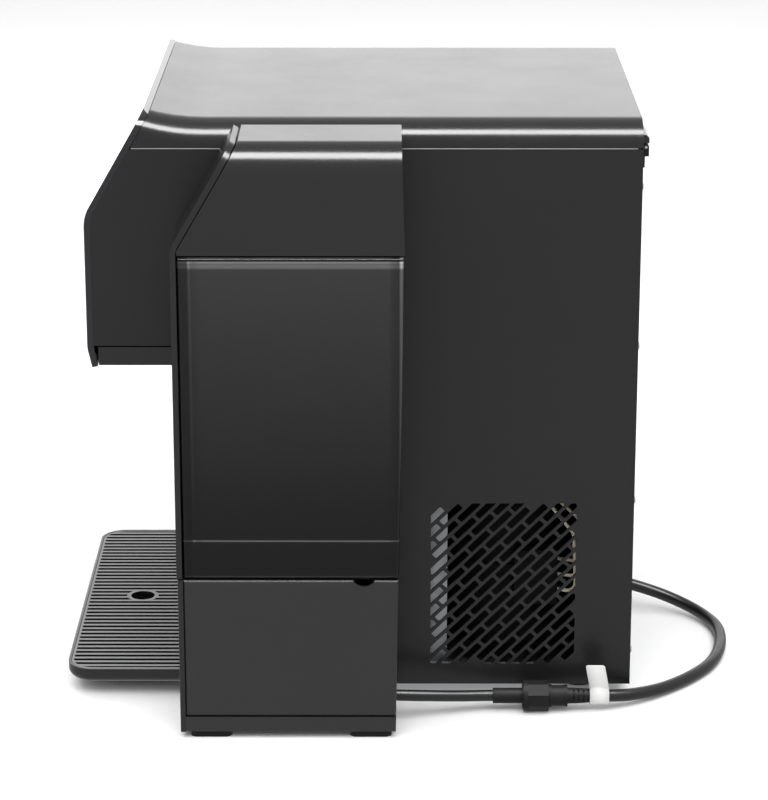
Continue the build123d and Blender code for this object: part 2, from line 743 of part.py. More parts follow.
comp_x = right_x - 90.0
comp_y = rear_y - 88.0
comp_r = 58.0
comp_z = pan_floor + 12.0
comp_h = 132.0
comp_dome_r = 30.0
comp_foot_r = 12.0
comp_belt = 2.5       # weld belt round the middle of the shell
comp_plate_w = 100.0
comp_plate_d = 124.0
terminal_low = 42.0   # terminal box on the side that faces the grille
terminal_size = (32.0, 32.0, 42.0)
terminal_x = comp_x + comp_r - 18
terminal_y = comp_y + 2
with BuildPart() as compressor:
    rod((comp_x, comp_y, comp_z), (comp_x, comp_y, comp_z + comp_h), comp_r)
    fillet(compressor.edges().group_by(Axis.Z)[-1], comp_dome_r)
    fillet(compressor.edges().group_by(Axis.Z)[0], comp_foot_r)
    rod((comp_x, comp_y, comp_z + comp_h / 2 - 3), (comp_x, comp_y, comp_z + comp_h / 2 + 3),
        comp_r + comp_belt)
    block((comp_x - comp_plate_w / 2, comp_y - comp_plate_d / 2, comp_z),
          (comp_x + comp_plate_w / 2, comp_y + comp_plate_d / 2, comp_z + 3))
    terminal = (terminal_x, terminal_y, comp_z + terminal_low)
    block(terminal, [a + b for a, b in zip(terminal, terminal_size)])
compressor.part.label = "compressor"
export_step(compressor.part, "parts/compressor.step")

with BuildPart() as compressor_mounts:
    for x in (comp_x - comp_plate_w / 2 + 8, comp_x + comp_plate_w / 2 - 8):
        for y in (comp_y - comp_plate_d / 2 + 8, comp_y + comp_plate_d / 2 - 8):
            rod((x, y, pan_floor), (x, y, comp_z), 8)
compressor_mounts.part.label = "compressor_mounts"
export_step(compressor_mounts.part, "parts/compressor_mounts.step")

cond_x = in_left + 8.0
cond_t = 32.0
cond_z = pan_floor + 8
cond_h = 132.0
cond_d = 120.0
fin_count = 20
tube_rows = 6
tube_pitch = 22.0
cond_tube_r = 3.5
with BuildPart() as condenser:
    for y in (condenser_y - cond_d / 2, condenser_y + cond_d / 2 - 2):
        block((cond_x, y, pan_floor), (cond_x + cond_t, y + 2, cond_z + cond_h))
    for i in range(fin_count):
        y = condenser_y - cond_d / 2 + 8 + i * (cond_d - 17) / (fin_count - 1)
        block((cond_x + 2, y, cond_z), (cond_x + cond_t - 2, y + 1.0, cond_z + cond_h - 4))
    for x in (cond_x + 9, cond_x + cond_t - 9):
        for i in range(tube_rows):
            z = cond_z + 10 + i * tube_pitch
            rod((x, condenser_y - cond_d / 2 - 4, z), (x, condenser_y + cond_d / 2 + 4, z), cond_tube_r)
condenser.part.label = "condenser"
export_step(condenser.part, "parts/condenser.step")

fan_r = 50.0
fan_z = cond_z + 66.0
shroud_x = cond_x + cond_t
shroud_t = 26.0
shroud_half = fan_r + 8
spoke_t = 4.0
spoke_x = shroud_x + shroud_t - spoke_t
fan_x = shroud_x + 12
with BuildPart() as fan_shroud:
    block((shroud_x, condenser_y - shroud_half, cond_z),
          (shroud_x + shroud_t, condenser_y + shroud_half, fan_z + shroud_half))
    rod((shroud_x - 1, condenser_y, fan_z), (shroud_x + shroud_t + 1, condenser_y, fan_z), fan_r + 2,
        mode=Mode.SUBTRACT)
    for across, up in ((fan_r + 4, spoke_t), (spoke_t, fan_r + 4)):
        block((spoke_x, condenser_y - across, fan_z - up),
              (spoke_x + spoke_t, condenser_y + across, fan_z + up))
    rod((spoke_x - 1, condenser_y, fan_z), (shroud_x + shroud_t + 1, condenser_y, fan_z), 4,
        mode=Mode.SUBTRACT)
fan_shroud.part.label = "fan_shroud"
export_step(fan_shroud.part, "parts/fan_shroud.step")

fan_shaft_r = 2.5
fan_shaft_reach = 36.0
with BuildPart() as fan_motor:
    motor_x = shroud_x + shroud_t
    rod((motor_x, condenser_y, fan_z), (motor_x + 24, condenser_y, fan_z), 18)
    rod((motor_x - 6, condenser_y, fan_z), (shroud_x + fan_shaft_reach + 2, condenser_y, fan_z),
        fan_shaft_r + running, mode=Mode.SUBTRACT)
fan_motor.part.label = "fan_motor"
export_step(fan_motor.part, "parts/fan_motor.step")

blade_count = 7
with BuildPart() as fan_blades:
    hub_end = shroud_x + 20
    rod((shroud_x + 4, condenser_y, fan_z), (hub_end, condenser_y, fan_z), 14)
    rod((hub_end, condenser_y, fan_z), (shroud_x + fan_shaft_reach, condenser_y, fan_z), fan_shaft_r)
    for i in range(blade_count):
        turn = radians(360 / blade_count * i)
        blade_plane = Plane(
            origin=(fan_x, condenser_y + 12 * cos(turn), fan_z + 12 * sin(turn)),
            x_dir=(0.55, -sin(turn) * 0.835, cos(turn) * 0.835),
            z_dir=(0, cos(turn), sin(turn)),
        )
        with BuildSketch(blade_plane) as root_of_blade:
            Rectangle(13, 1.6)
        with BuildSketch(blade_plane.offset(fan_r - 14)) as tip_of_blade:
            Rectangle(19, 1.2)
        loft([root_of_blade.sketch, tip_of_blade.sketch])
fan_blades.part.label = "fan_blades"
export_step(fan_blades.part, "parts/fan_blades.step")

# Galvanised plate that guides the intake air behind the front end of the grille.
plate_x = right_x - 16.0
plate_y = rear_y - vent_back - vent_d
with BuildPart() as duct_plate:
    block((plate_x, plate_y - 14, pan_floor), (plate_x + 1.0, plate_y + 12.5, vent_low + vent_h))
    block((comp_x - 10, plate_y - 15, pan_floor), (plate_x + 1.0, plate_y - 14, vent_low + vent_h))
    block((plate_x + 1.0, plate_y - 14, foot_h + pan_flange), (in_right, plate_y - 13, vent_low + vent_h))
duct_plate.part.label = "duct_plate"
export_step(duct_plate.part, "parts/duct_plate.step")

# ---------------------------------------------------------------- water, power and control
sump_low = (in_left + 12, recess_y + 12, pan_floor + 10)
sump_size = (80.0, 64.0, 86.0)
sump_high = [a + b for a, b in zip(sump_low, sump_size)]
with BuildPart() as sump:
    block(sump_low, sump_high)
    fillet(sump.edges().filter_by(Axis.Z), 6)
    block([v + 2 for v in sump_low], (sump_high[0] - 2, sump_high[1] - 2, sump_high[2] + 1),
          mode=Mode.SUBTRACT)
    for x in (sump_low[0] + 14, sump_high[0] - 14):
        for y in (sump_low[1] + 14, sump_high[1] - 14):
            rod((x, y, pan_floor), (x, y, sump_low[2]), 5)
sump.part.label = "sump"
export_step(sump.part, "parts/sump.step")

pump_x = sump_high[0] + 32
pump_y = recess_y + 40
with BuildPart() as circulation_pump:
    rod((pump_x, pump_y, pan_floor), (pump_x, pump_y, pan_floor + 34), 21)
    rod((pump_x, pump_y, pan_floor + 34), (pump_x, pump_y, pan_floor + 58), 16)
    rod((sump_high[0], pump_y, pan_floor + 18), (pump_x, pump_y, pan_floor + 18), 5)
circulation_pump.part.label = "circulation_pump"
export_step(circulation_pump.part, "parts/circulation_pump.step")

board_x = mid_x + 55.0
board_z = chin_z - 76.6
with BuildPart() as control_board:
    board_front = recess_y + sheet + 8
    block((board_x - 62, board_front, board_z - 45), (board_x + 62, board_front + 1.6, board_z + 45))
    for x in (board_x - 56, board_x + 56):
        for z in (board_z - 39, board_z + 39):
            rod((x, recess_y + sheet, z), (x, board_front, z), 3)
    block((board_x - 50, board_front + 1.6, board_z - 36), (board_x - 20, board_front + 24, board_z - 6))
    block((board_x + 4, board_front + 1.6, board_z - 30), (board_x + 20, board_front + 17, board_z - 10))
    block((board_x - 46, board_front + 1.6, board_z + 14), (board_x + 48, board_front + 12, board_z + 22))
    for x in (board_x - 2, board_x + 16, board_x + 34):
        rod((x, board_front + 1.6, board_z), (x, board_front + 20, board_z), 6)
control_board.part.label = "control_board"
export_step(control_board.part, "parts/control_board.step")

# Power inlet for a detachable lead, with the mains switch beside it.
socket_x = inlet_x - 10.0
switch_x = inlet_x + 14.0
switch_y = rear_y - 5.0
switch_w = 10.4
switch_pin_r = 1.2
with BuildPart() as power_inlet:
    block((inlet_x - inlet_w / 2 - 5, rear_y, inlet_z - inlet_h / 2 - 5),
          (inlet_x + inlet_w / 2 + 5, rear_y + 2.5, inlet_z + inlet_h / 2 + 5))
    block((inlet_x - inlet_w / 2, rear_y - 28, inlet_z - inlet_h / 2),
          (inlet_x + inlet_w / 2, rear_y, inlet_z + inlet_h / 2))
    with BuildSketch(front_view(rear_y + 3)) as socket:
        with Locations((socket_x, inlet_z)):
            RectangleRounded(25, 17, 2.5)
    extrude(socket.sketch, amount=20, mode=Mode.SUBTRACT)
    with BuildSketch(front_view(rear_y + 3)) as switch_well:
        with Locations((switch_x, inlet_z)):
            Rectangle(switch_w + 1.0, 22.4)
    extrude(switch_well.sketch, amount=14, mode=Mode.SUBTRACT)
    for dx, dz in ((-7, 2), (7, 2), (0, -3)):
        x = socket_x + dx
        block((x - 1, rear_y - 17.5, inlet_z + dz - 2), (x + 1, rear_y - 2, inlet_z + dz + 2))
    rod((switch_x - 9, switch_y, inlet_z), (switch_x + 9, switch_y, inlet_z), switch_pin_r + running,
        mode=Mode.SUBTRACT)
power_inlet.part.label = "power_inlet"
export_step(power_inlet.part, "parts/power_inlet.step")

with BuildPart() as rocker_switch:
    with BuildSketch(side_view(switch_x - switch_w / 2)):
        with BuildLine():
            Polyline(
                (switch_y, inlet_z - 8.0),
                (switch_y + 6.2, inlet_z - 9.4),
                (switch_y + 7.6, inlet_z),
                (switch_y + 9.2, inlet_z + 8.6),
                (switch_y + 2, inlet_z + 8.0),
                (switch_y - 3, inlet_z),
                close=True,
            )
        make_face()
    extrude(amount=switch_w)
    rod((switch_x - 7, switch_y, inlet_z), (switch_x + 7, switch_y, inlet_z), switch_pin_r)
rocker_switch.part.label = "rocker_switch"
export_step(rocker_switch.part, "parts/rocker_switch.step")

# Drain fitting and its screw plug.
with BuildPart() as drain_fitting:
    rod((drain_x, rear_y - 20, drain_z), (drain_x, rear_y, drain_z), drain_r + 2)
    rod((drain_x, rear_y, drain_z), (drain_x, rear_y + 1.5, drain_z), drain_r + 5)
    rod((drain_x, rear_y - 14, drain_z), (drain_x, rear_y + 2, drain_z), drain_r - 1 + running,
        mode=Mode.SUBTRACT)
drain_fitting.part.label = "drain_fitting"
export_step(drain_fitting.part, "parts/drain_fitting.step")

with BuildPart() as drain_plug:
    rod((drain_x, rear_y - 12, drain_z), (drain_x, rear_y + 2, drain_z), drain_r - 1)
    with BuildSketch(front_view(rear_y + 4.4)) as cap_outline:
        with Locations((drain_x, drain_z)):
            Circle(drain_r + 3)
            with PolarLocations(drain_r + 3, 12):
                Circle(1.2, mode=Mode.SUBTRACT)
    extrude(cap_outline.sketch, amount=2.6)
drain_plug.part.label = "drain_plug"
export_step(drain_plug.part, "parts/drain_plug.step")

# ================================================================ wiring and refrigerant tubes
wire_r = 1.3
copper_r = 3.0
wire_xs = (terminal_x + 26, terminal_x + 18, terminal_x + 10)
wire_y = terminal_y + terminal_size[1]
with BuildPart() as wire_harness:
    for i, x in enumerate(wire_xs):
        z = comp_z + terminal_low + 10 + 9 * i
        wire_route = [
            (x, wire_y, z),
            (x, wire_y + 14 + 3 * i, z - 3),
            (x + 2, wire_y + 12 + 4 * i, z + 44),
            (x - 14, wire_y - 30 - 4 * i, comp_z + comp_h + 12 + 3 * i),
            (board_x + 24 - 6 * i, recess_y + sheet + 34, board_z - 14),
            (board_x + 30 - 8 * i, recess_y + sheet + 9.6, board_z - 21),
        ]
        tube_along(wire_route, [6, 8, 12, 12], wire_r)
wire_harness.part.label = "wire_harness"
export_step(wire_harness.part, "parts/wire_harness.step")

discharge = [
    (comp_x + 20, comp_y + 54, comp_z + 60),
    (comp_x + 20, comp_y + 66, comp_z + 60),
    (comp_x + 14, comp_y + 68, comp_z + comp_h + 14),
    (ev_x + 44, comp_y + 60, comp_z + comp_h + 16),
    (ev_x + 44, ev_y, ev_low + 60),
    (ev_x + ev_r - 1, ev_y, ev_low + 60),
]
suction_x = cond_x + cond_t - 9
suction = [
    (comp_x - 30, comp_y - 40, comp_z + 96),
    (comp_x - 56, comp_y - 74, comp_z + 112),
    (suction_x + 30, condenser_y - 76, cond_z + 128),
    (suction_x, condenser_y - 76, cond_z + 120),
    (suction_x, condenser_y - cond_d / 2 - 4, cond_z + 120),
]
with BuildPart() as refrigerant_tubes:
    tube_along(discharge, [6, 12, 16, 14], copper_r)
    tube_along(suction, [18, 18, 8], copper_r)
refrigerant_tubes.part.label = "refrigerant_tubes"
export_step(refrigerant_tubes.part, "parts/refrigerant_tubes.step")

# ================================================================ drip tray
tray_w = body_w - 2.0
tray_h = 11.4
tray_drop = 0.4       # the tray hangs this much below the body
tray_low = foot_h - tray_drop
tray_back = recess_y - fit
tray_d = tray_back - tray_y
tray_corner = 20.0
tray_wall = 1.8
grid_t = 2.6
hole_y = tray_y + 45.0
hole_r = 9.3
ring_w = 3.2
tray_mid_y = (tray_y + tray_back) / 2


def tray_outline(inset):
    """Plan of the tray: rounded front corners, nearly square back ones."""
    with BuildSketch(Plane.XY) as plan:
        with Locations((mid_x, tray_mid_y)):
            Rectangle(tray_w - 2 * inset, tray_d - 2 * inset)
        corners = plan.vertices().group_by(Axis.Y)
        fillet(corners[0], tray_corner - inset)
        fillet(plan.vertices().group_by(Axis.Y)[-1], 3)
    return plan.sketch


tray_under_r = 6.5
crossbar_ys = (tray_mid_y - 30, tray_mid_y + 24)
with BuildPart() as tray_hollow:
    extrude(tray_outline(tray_wall).moved(Location((0, 0, tray_low + tray_wall))), amount=tray_h)
    lower_edges = tray_hollow.edges().group_by(Axis.Z)[0]
    fillet(lower_edges.filter_by(lambda e: e.center().Y < tray_back - 3), tray_under_r - tray_wall)

with BuildPart() as drip_tray:
    extrude(tray_outline(0).moved(Location((0, 0, tray_low))), amount=tray_h)
    lower_edges = drip_tray.edges().group_by(Axis.Z)[0]
    fillet(lower_edges.filter_by(lambda e: e.center().Y < tray_back - 0.5), tray_under_r)
    add(tray_hollow.part, mode=Mode.SUBTRACT)
    for x in tongue_xs:
        block((x - tongue_w / 2, tray_back - 1, tongue_z),
              (x + tongue_w / 2, tray_back + tongue_reach, tongue_z + tongue_t))
        for y in crossbar_ys:
            rod((x, y, tray_low + 0.5), (x, y, tray_low + tray_h - grid_t - 0.4), 3)
drip_tray.part.label = "drip_tray"
export_step(drip_tray.part, "parts/drip_tray.step")

with BuildPart() as tray_feet:
    for x in (mid_x - 92, mid_x + 92):
        rod((x, tray_y + 40, 0), (x, tray_y + 40, tray_low), 8)
tray_feet.part.label = "tray_feet"
export_step(tray_feet.part, "parts/tray_feet.step")

slat_count = 40
grid_inset = tray_wall + 0.4
rim_w = 1.8
grid_top = tray_low + tray_h - 0.2
slat_pitch = (tray_w - 2 * grid_inset - 2 * rim_w) / (slat_count + 0.15)
slat_w = slat_pitch * 0.47
with BuildPart() as tray_grid:
    with BuildSketch(Plane.XY.offset(grid_top - grid_t)) as grid_plan:
        add(tray_outline(grid_inset))
        add(tray_outline(grid_inset + rim_w), mode=Mode.SUBTRACT)
        with BuildSketch(Plane.XY, mode=Mode.PRIVATE) as bars:
            with Locations((mid_x, tray_mid_y)):
                with GridLocations(slat_pitch, 1, slat_count, 1):
                    Rectangle(slat_w, tray_d)
            with Locations((mid_x, hole_y)):
                Circle(hole_r + ring_w)
                Circle(hole_r, mode=Mode.SUBTRACT)
            add(tray_outline(grid_inset), mode=Mode.INTERSECT)
        add(bars.sketch)
    extrude(amount=grid_t)
    for y in crossbar_ys:
        block((mid_x - tray_w / 2 + grid_inset + 1, y - 1.5, grid_top - grid_t),
              (mid_x + tray_w / 2 - grid_inset - 1, y + 1.5, grid_top - grid_t + 1.0))
tray_grid.part.label = "tray_grid"
export_step(tray_grid.part, "parts/tray_grid.step")

# ================================================================ side tank
def back_of_tank(z):
    """Y of the tank's drafted rear face at a height."""
    return tank_back - tank_draft * abs(cap_z - z)


def tank_slice(low, high, inset):
    """Side outline of the tank's body between two heights, with its drafted rear face."""
    with BuildSketch(side_view(tank_in + inset)) as outline:
        with BuildLine():
            Polyline(
                (tank_y + inset, low),
                (back_of_tank(low) - inset, low),
                (back_of_tank(high) - inset, high),
                (tank_y + inset, high),
                close=True,
            )
        make_face()
    return outline.sketch


tank_corner = 3.0
line_x = tank_in + 37.2
line_z = 18.0
gland_half = 8.0      # half the side of the rubber block round the line
tail_r = 4.2
valve_y = (tank_y + tank_back) / 2 - 2.0
valve_r = 13.0
well_depth = 12.0
notch_y = tank_back - 28.5
notch_r = 9.1
notch_up = 3.8        # its centre stands this much above the base
base_wall = 2.5
cup_t = 12.0          # from the spout's end to the underside of its cup

with BuildPart() as tank_base:
    extrude(tank_slice(foot_seam_z + seam / 4, base_z - seam / 2, 0), amount=tank_w)
    fillet(tank_base.edges().filter_by(lambda e: e.center().X > tank_out - 1 and e.length > 60), 2.4)
    extrude(tank_slice(foot_seam_z - 1, base_z - seam / 2 - base_wall, base_wall),
            amount=tank_w - 2 * base_wall, mode=Mode.SUBTRACT)
    # Cup that receives the reservoir's spout; the pin in it pushes the valve open.
    cup_low = base_z - well_depth - cup_t
    cup_high = base_z - seam / 2
    rod((tank_mid_x, valve_y, cup_low), (tank_mid_x, valve_y, cup_high), valve_r + 4)
    rod((tank_mid_x, valve_y, cup_low + 3), (tank_mid_x, valve_y, cup_high + 1), valve_r + 1.5,
        mode=Mode.SUBTRACT)
    rod((tank_mid_x, valve_y, cup_low + 2), (tank_mid_x, valve_y, base_z - well_depth - 0.4), 2.2)
    with BuildSketch(side_view(tank_out - 9)) as finger_notch:
        with Locations((notch_y, base_z + notch_up)):
            Circle(notch_r)
    extrude(finger_notch.sketch, amount=12, mode=Mode.SUBTRACT)
    block((line_x - gland_half, back_of_tank(line_z) - 6, foot_seam_z - 2),
          (line_x + gland_half, back_of_tank(line_z) + 3, line_z + gland_half), mode=Mode.SUBTRACT)
tank_base.part.label = "tank_base"
export_step(tank_base.part, "parts/tank_base.step")

with BuildPart() as tank_base_bottom:
    extrude(tank_slice(base_foot, foot_seam_z - seam / 4, 0), amount=tank_w)
    extrude(tank_slice(base_foot + base_wall, foot_seam_z + 1, base_wall),
            amount=tank_w - 2 * base_wall, mode=Mode.SUBTRACT)
    block((line_x - gland_half, back_of_tank(line_z) - 6, line_z - gland_half),
          (line_x + gland_half, back_of_tank(line_z) + 3, foot_seam_z + 2), mode=Mode.SUBTRACT)
    outer_low = tank_base_bottom.edges().group_by(Axis.Z)[0].group_by(Axis.X)[-1]
    fillet(outer_low, 1.5)
tank_base_bottom.part.label = "tank_base_bottom"
export_step(tank_base_bottom.part, "parts/tank_base_bottom.step")

foot_r = 15.0
foot_inset = 36.0
with BuildPart() as rubber_feet:
    for y in (tank_y + 3, back_of_tank(0) - 33):
        block((tank_in + 3, y, 0), (tank_out - 3, y + 30, base_foot))
    fillet(rubber_feet.edges().filter_by(Axis.Z), 5)
    for x in (left_x + foot_inset, right_x - foot_inset):
        for y in (recess_y + foot_inset, rear_y - foot_inset):
            with BuildSketch(Plane(origin=(x, y, 0))) as tread:
                Circle(foot_r - 2)
            with BuildSketch(Plane(origin=(x, y, foot_h))) as seat:
                Circle(foot_r)
            loft([tread.sketch, seat.sketch])
rubber_feet.part.label = "rubber_feet"
export_step(rubber_feet.part, "parts/rubber_feet.step")

# Rubber block clamped in the rear wall where the line leaves the tank.
with BuildPart() as tail_gland:
    block((line_x - gland_half, back_of_tank(line_z) - 6, line_z - gland_half),
          (line_x + gland_half, back_of_tank(line_z), line_z + gland_half))
    rod((line_x, back_of_tank(line_z) - 7, line_z), (line_x, back_of_tank(line_z) + 1, line_z), 3.0,
        mode=Mode.SUBTRACT)
tail_gland.part.label = "tail_gland"
export_step(tail_gland.part, "parts/tail_gland.step")

pump_steps = (
    (base_foot + base_wall, 24.0),
    (base_z * 0.4, 17.0),
    (base_z * 0.6, 6.0),
)
with BuildPart() as transfer_pump:
    pump_tops = [low for low, _ in pump_steps[1:]] + [cup_low]
    for (low, radius), high in zip(pump_steps, pump_tops):
        rod((tank_mid_x, valve_y, low), (tank_mid_x, valve_y, high), radius)
transfer_pump.part.label = "transfer_pump"
export_step(transfer_pump.part, "parts/transfer_pump.step")

reservoir_low = base_z + 0.2
spout_hole_r = 3.5
with BuildPart() as reservoir:
    extrude(tank_slice(reservoir_low, cap_z - seam, 0), amount=tank_w)
    uprights = reservoir.edges().filter_by(lambda e: e.length > 100)
    fillet(uprights, tank_corner)
    extrude(tank_slice(reservoir_low + tank_wall + 3.5, cap_z + 1, tank_wall),
            amount=tank_w - 2 * tank_wall, mode=Mode.SUBTRACT)
    rod((tank_mid_x, valve_y, base_z - well_depth), (tank_mid_x, valve_y, reservoir_low + 1), valve_r)
    rod((tank_mid_x, valve_y, base_z - well_depth + 2), (tank_mid_x, valve_y, reservoir_low + 12),
        valve_r - 3, mode=Mode.SUBTRACT)
    rod((tank_mid_x, valve_y, base_z - well_depth - 1), (tank_mid_x, valve_y, reservoir_low),
        spout_hole_r, mode=Mode.SUBTRACT)
reservoir.part.label = "reservoir"
export_step(reservoir.part, "parts/reservoir.step")

with BuildPart() as outlet_valve:
    rod((tank_mid_x, valve_y, base_z - well_depth + 2.3), (tank_mid_x, valve_y, base_z - well_depth + 6),
        valve_r - 5)
    rod((tank_mid_x, valve_y, base_z - well_depth), (tank_mid_x, valve_y, base_z + 4), 3.0)
outlet_valve.part.label = "outlet_valve"
export_step(outlet_valve.part, "parts/outlet_valve.step")

# Face strips: one on the base, one running up the reservoir and leaning back over the cap.
strip_face_y = tank_y - strip_t - strip_gap
tank_bend_z = cap_z + tank_bend_over


def strip_slant_y(z, behind=0.0):
    """Y of the tank's slanted front at a height, a given distance behind the strip's face."""
    lean = behind / cos(radians(tank_slant_angle)) - behind
    return strip_face_y + behind + lean + (z - tank_bend_z) * tan(radians(tank_slant_angle))


with BuildPart() as base_strip:
    block((tank_in, strip_face_y + 0.6, base_foot), (tank_out, tank_y - 0.1, base_z - seam / 2))
    fillet(base_strip.edges().filter_by(Axis.Z).group_by(Axis.Y)[0], 1.2)
base_strip.part.label = "base_strip"
export_step(base_strip.part, "parts/base_strip.step")

strip_points = [
    (strip_slant_y(tank_top), tank_top),
    (strip_face_y, tank_bend_z),
    (strip_face_y, reservoir_low + 0.4),
]
with BuildPart() as reservoir_strip:
    with BuildSketch(side_view(tank_in)):
        bent_sheet(strip_points, [tank_bend_r], strip_t)
    extrude(amount=tank_w)
    crest = reservoir_strip.edges().filter_by(lambda e: e.center().Z > tank_top - 5 and e.length < 8)
    crest = crest.filter_by(lambda e: e.center().X > tank_out - 1)
    fillet(crest, tank_edge_r)
    for z in (base_z + 40, cap_z - 30):
        block((tank_mid_x - 20, tank_y - strip_gap - 0.1, z), (tank_mid_x + 20, tank_y, z + 12))
reservoir_strip.part.label = "reservoir_strip"
export_step(reservoir_strip.part, "parts/reservoir_strip.step")

# Cap: lifts away along the slant of the strip.
cap_low = cap_z + seam / 2
cap_front_gap = 0.7


def cap_outline(inset):
    """Side outline of the cap, parallel to the strip in front of it."""
    behind = strip_t + cap_front_gap
    knee = tank_bend_z - behind * tan(radians(tank_slant_angle / 2))
    high = tank_top - inset
    low = cap_low if inset == 0 else cap_low - 1
    shift = inset / cos(radians(tank_slant_angle))
    with BuildSketch(side_view(tank_in + inset)) as outline:
        with BuildLine():
            Polyline(
                (strip_face_y + behind + inset, low),
                (back_of_tank(low) - inset, low),
                (back_of_tank(tank_top) - inset - 1.0, high),
                (strip_slant_y(high, behind) + shift, high),
                (strip_face_y + behind + inset, knee),
                close=True,
            )
        make_face()
    return outline.sketch


with BuildPart() as cap_hollow:
    extrude(cap_outline(skin), amount=tank_w - 2 * skin)
    rolled_inside = cap_hollow.edges().group_by(Axis.Z)[-1].group_by(Axis.X)[-1]
    fillet(rolled_inside, tank_edge_r - skin)

with BuildPart() as tank_cap:
    extrude(cap_outline(0), amount=tank_w)
    rolled = tank_cap.edges().group_by(Axis.Z)[-1].group_by(Axis.X)[-1]
    fillet(rolled, tank_edge_r)
    add(cap_hollow.part, mode=Mode.SUBTRACT)
tank_cap.part.label = "tank_cap"
export_step(tank_cap.part, "parts/tank_cap.step")

# ================================================================ line from the tank to the machine
hose_r = 4.6
nut_r = 11.4
coupling_x = right_x + 23.7
coupling_z = nut_r + 0.2
sleeve_y = tank_back + 65.6
nut_y = tank_back + 87.2
nut_len = 19.0
body_len = 14.0
relief_len = 19.0
body_r = 7.7
relief_r = 5.5
sleeve_r = 5.7
relief_y = nut_y + nut_len + body_len
gland_out = hinge_d - 0.1

tail_route = [
    (line_x, back_of_tank(line_z), line_z),
    (line_x - 0.7, tank_back + 7.0, 17.4),
    (line_x - 3.9, tank_back + 22.0, 15.8),
    (coupling_x + 6.4, tank_back + 37.5, 13.9),
    (coupling_x + 2.2, tank_back + 52.5, 12.3),
    (coupling_x, sleeve_y, coupling_z),
]
with BuildPart() as tank_tail:
    tail_length = tube_along(tail_route, arc_radii(tail_route), tail_r)
tank_tail.part.label = "tank_tail"
export_step(tank_tail.part, "parts/tank_tail.step")

hose_route = [
    (coupling_x, relief_y + relief_len, coupling_z),
    (coupling_x - 4.0, rear_y - 9.0, 9.6),
    (coupling_x - 16.0, rear_y + 11.0, 7.2),
    (coupling_x - 30.0, rear_y + 27.5, 5.4),
    (coupling_x - 51.0, rear_y + 48.0, 4.8),
    (coupling_x - 77.5, rear_y + 66.5, 4.8),
    (gland_x + 94.5, rear_y + 77.0, 4.7),
    (gland_x + 56.0, rear_y + 80.5, 4.9),
    (gland_x + 30.5, rear_y + 72.0, 5.6),
    (gland_x + 14.5, rear_y + 59.5, 8.2),
    (gland_x + 3.5, rear_y + 41.5, 13.0),
    (gland_x - 0.5, rear_y + 21.0, 18.8),
    (gland_x, rear_y + gland_out, gland_z),
]
with BuildPart() as main_hose:
    hose_length = tube_along(hose_route, arc_radii(hose_route), hose_r)
main_hose.part.label = "main_hose"
export_step(main_hose.part, "parts/main_hose.step")
for name, route, length in (
    ("tank_tail", tail_route, tail_length),
    ("main_hose", hose_route, hose_length),
):
    print(name, "length", round(length, 1), "radii", [round(r) for r in arc_radii(route)])
print("volumes", round(tank_tail.part.volume), round(main_hose.part.volume))

with BuildPart() as hose_gland:
    rod((gland_x, rear_y - 8, gland_z), (gland_x, rear_y, gland_z), gland_r)
    rod((gland_x, rear_y, gland_z), (gland_x, rear_y + gland_out - 1.8, gland_z),
        gland_r + gland_rim)
    rod((gland_x, rear_y, gland_z), (gland_x, rear_y + gland_out, gland_z), hose_r + 2.2)
    rod((gland_x, rear_y - 9, gland_z), (gland_x, rear_y + gland_out + 1, gland_z), 3.2,
        mode=Mode.SUBTRACT)
hose_gland.part.label = "hose_gland"
export_step(hose_gland.part, "parts/hose_gland.step")

with BuildPart() as tail_sleeve:
    rod((coupling_x, sleeve_y, coupling_z), (coupling_x, nut_y + 2, coupling_z), sleeve_r)
tail_sleeve.part.label = "tail_sleeve"
export_step(tail_sleeve.part, "parts/tail_sleeve.step")

with BuildPart() as coupling_nut:
    with BuildSketch(front_view(nut_y + nut_len)) as nut_section:
        RegularPolygon(nut_r, 8, rotation=22.5)
    nut_face = nut_section.sketch.moved(Location((coupling_x, 0, coupling_z)))
    extrude(nut_face, amount=nut_len - 4)
    rod((coupling_x, nut_y + 1.0, coupling_z), (coupling_x, nut_y + 4.0, coupling_z), nut_r)
    rod((coupling_x, nut_y, coupling_z), (coupling_x, nut_y + 1.0, coupling_z), nut_r - 1.6)
    rod((coupling_x, nut_y - 1, coupling_z), (coupling_x, nut_y + nut_len + 1, coupling_z),
        body_r + fit, mode=Mode.SUBTRACT)
coupling_nut.part.label = "coupling_nut"
export_step(coupling_nut.part, "parts/coupling_nut.step")

with BuildPart() as coupling_body:
    rod((coupling_x, nut_y + 2, coupling_z), (coupling_x, relief_y, coupling_z), body_r)
    rod((coupling_x, nut_y + nut_len + 0.4, coupling_z), (coupling_x, nut_y + nut_len + 2.4, coupling_z),
        body_r + 0.8)
    rod((coupling_x, relief_y - 2, coupling_z), (coupling_x, relief_y, coupling_z), body_r + 0.5)
coupling_body.part.label = "coupling_body"
export_step(coupling_body.part, "parts/coupling_body.step")

with BuildPart() as strain_relief:
    with BuildSketch(front_view(relief_y)):
        with Locations((coupling_x, coupling_z)):
            Circle(relief_r + 0.4)
    with BuildSketch(front_view(relief_y + relief_len)):
        with Locations((coupling_x, coupling_z)):
            Circle(relief_r - 0.3)
    loft()
    for i in range(4):
        y = relief_y + 4 + i * 3.6
        with BuildSketch(front_view(y + 1.2)) as ring:
            with Locations((coupling_x, coupling_z)):
                Circle(relief_r + 2)
                Circle(relief_r - 1.4, mode=Mode.SUBTRACT)
                Rectangle(3.0, 30, mode=Mode.SUBTRACT)
        extrude(ring.sketch, amount=1.2, mode=Mode.SUBTRACT)
strain_relief.part.label = "strain_relief"
export_step(strain_relief.part, "parts/strain_relief.step")

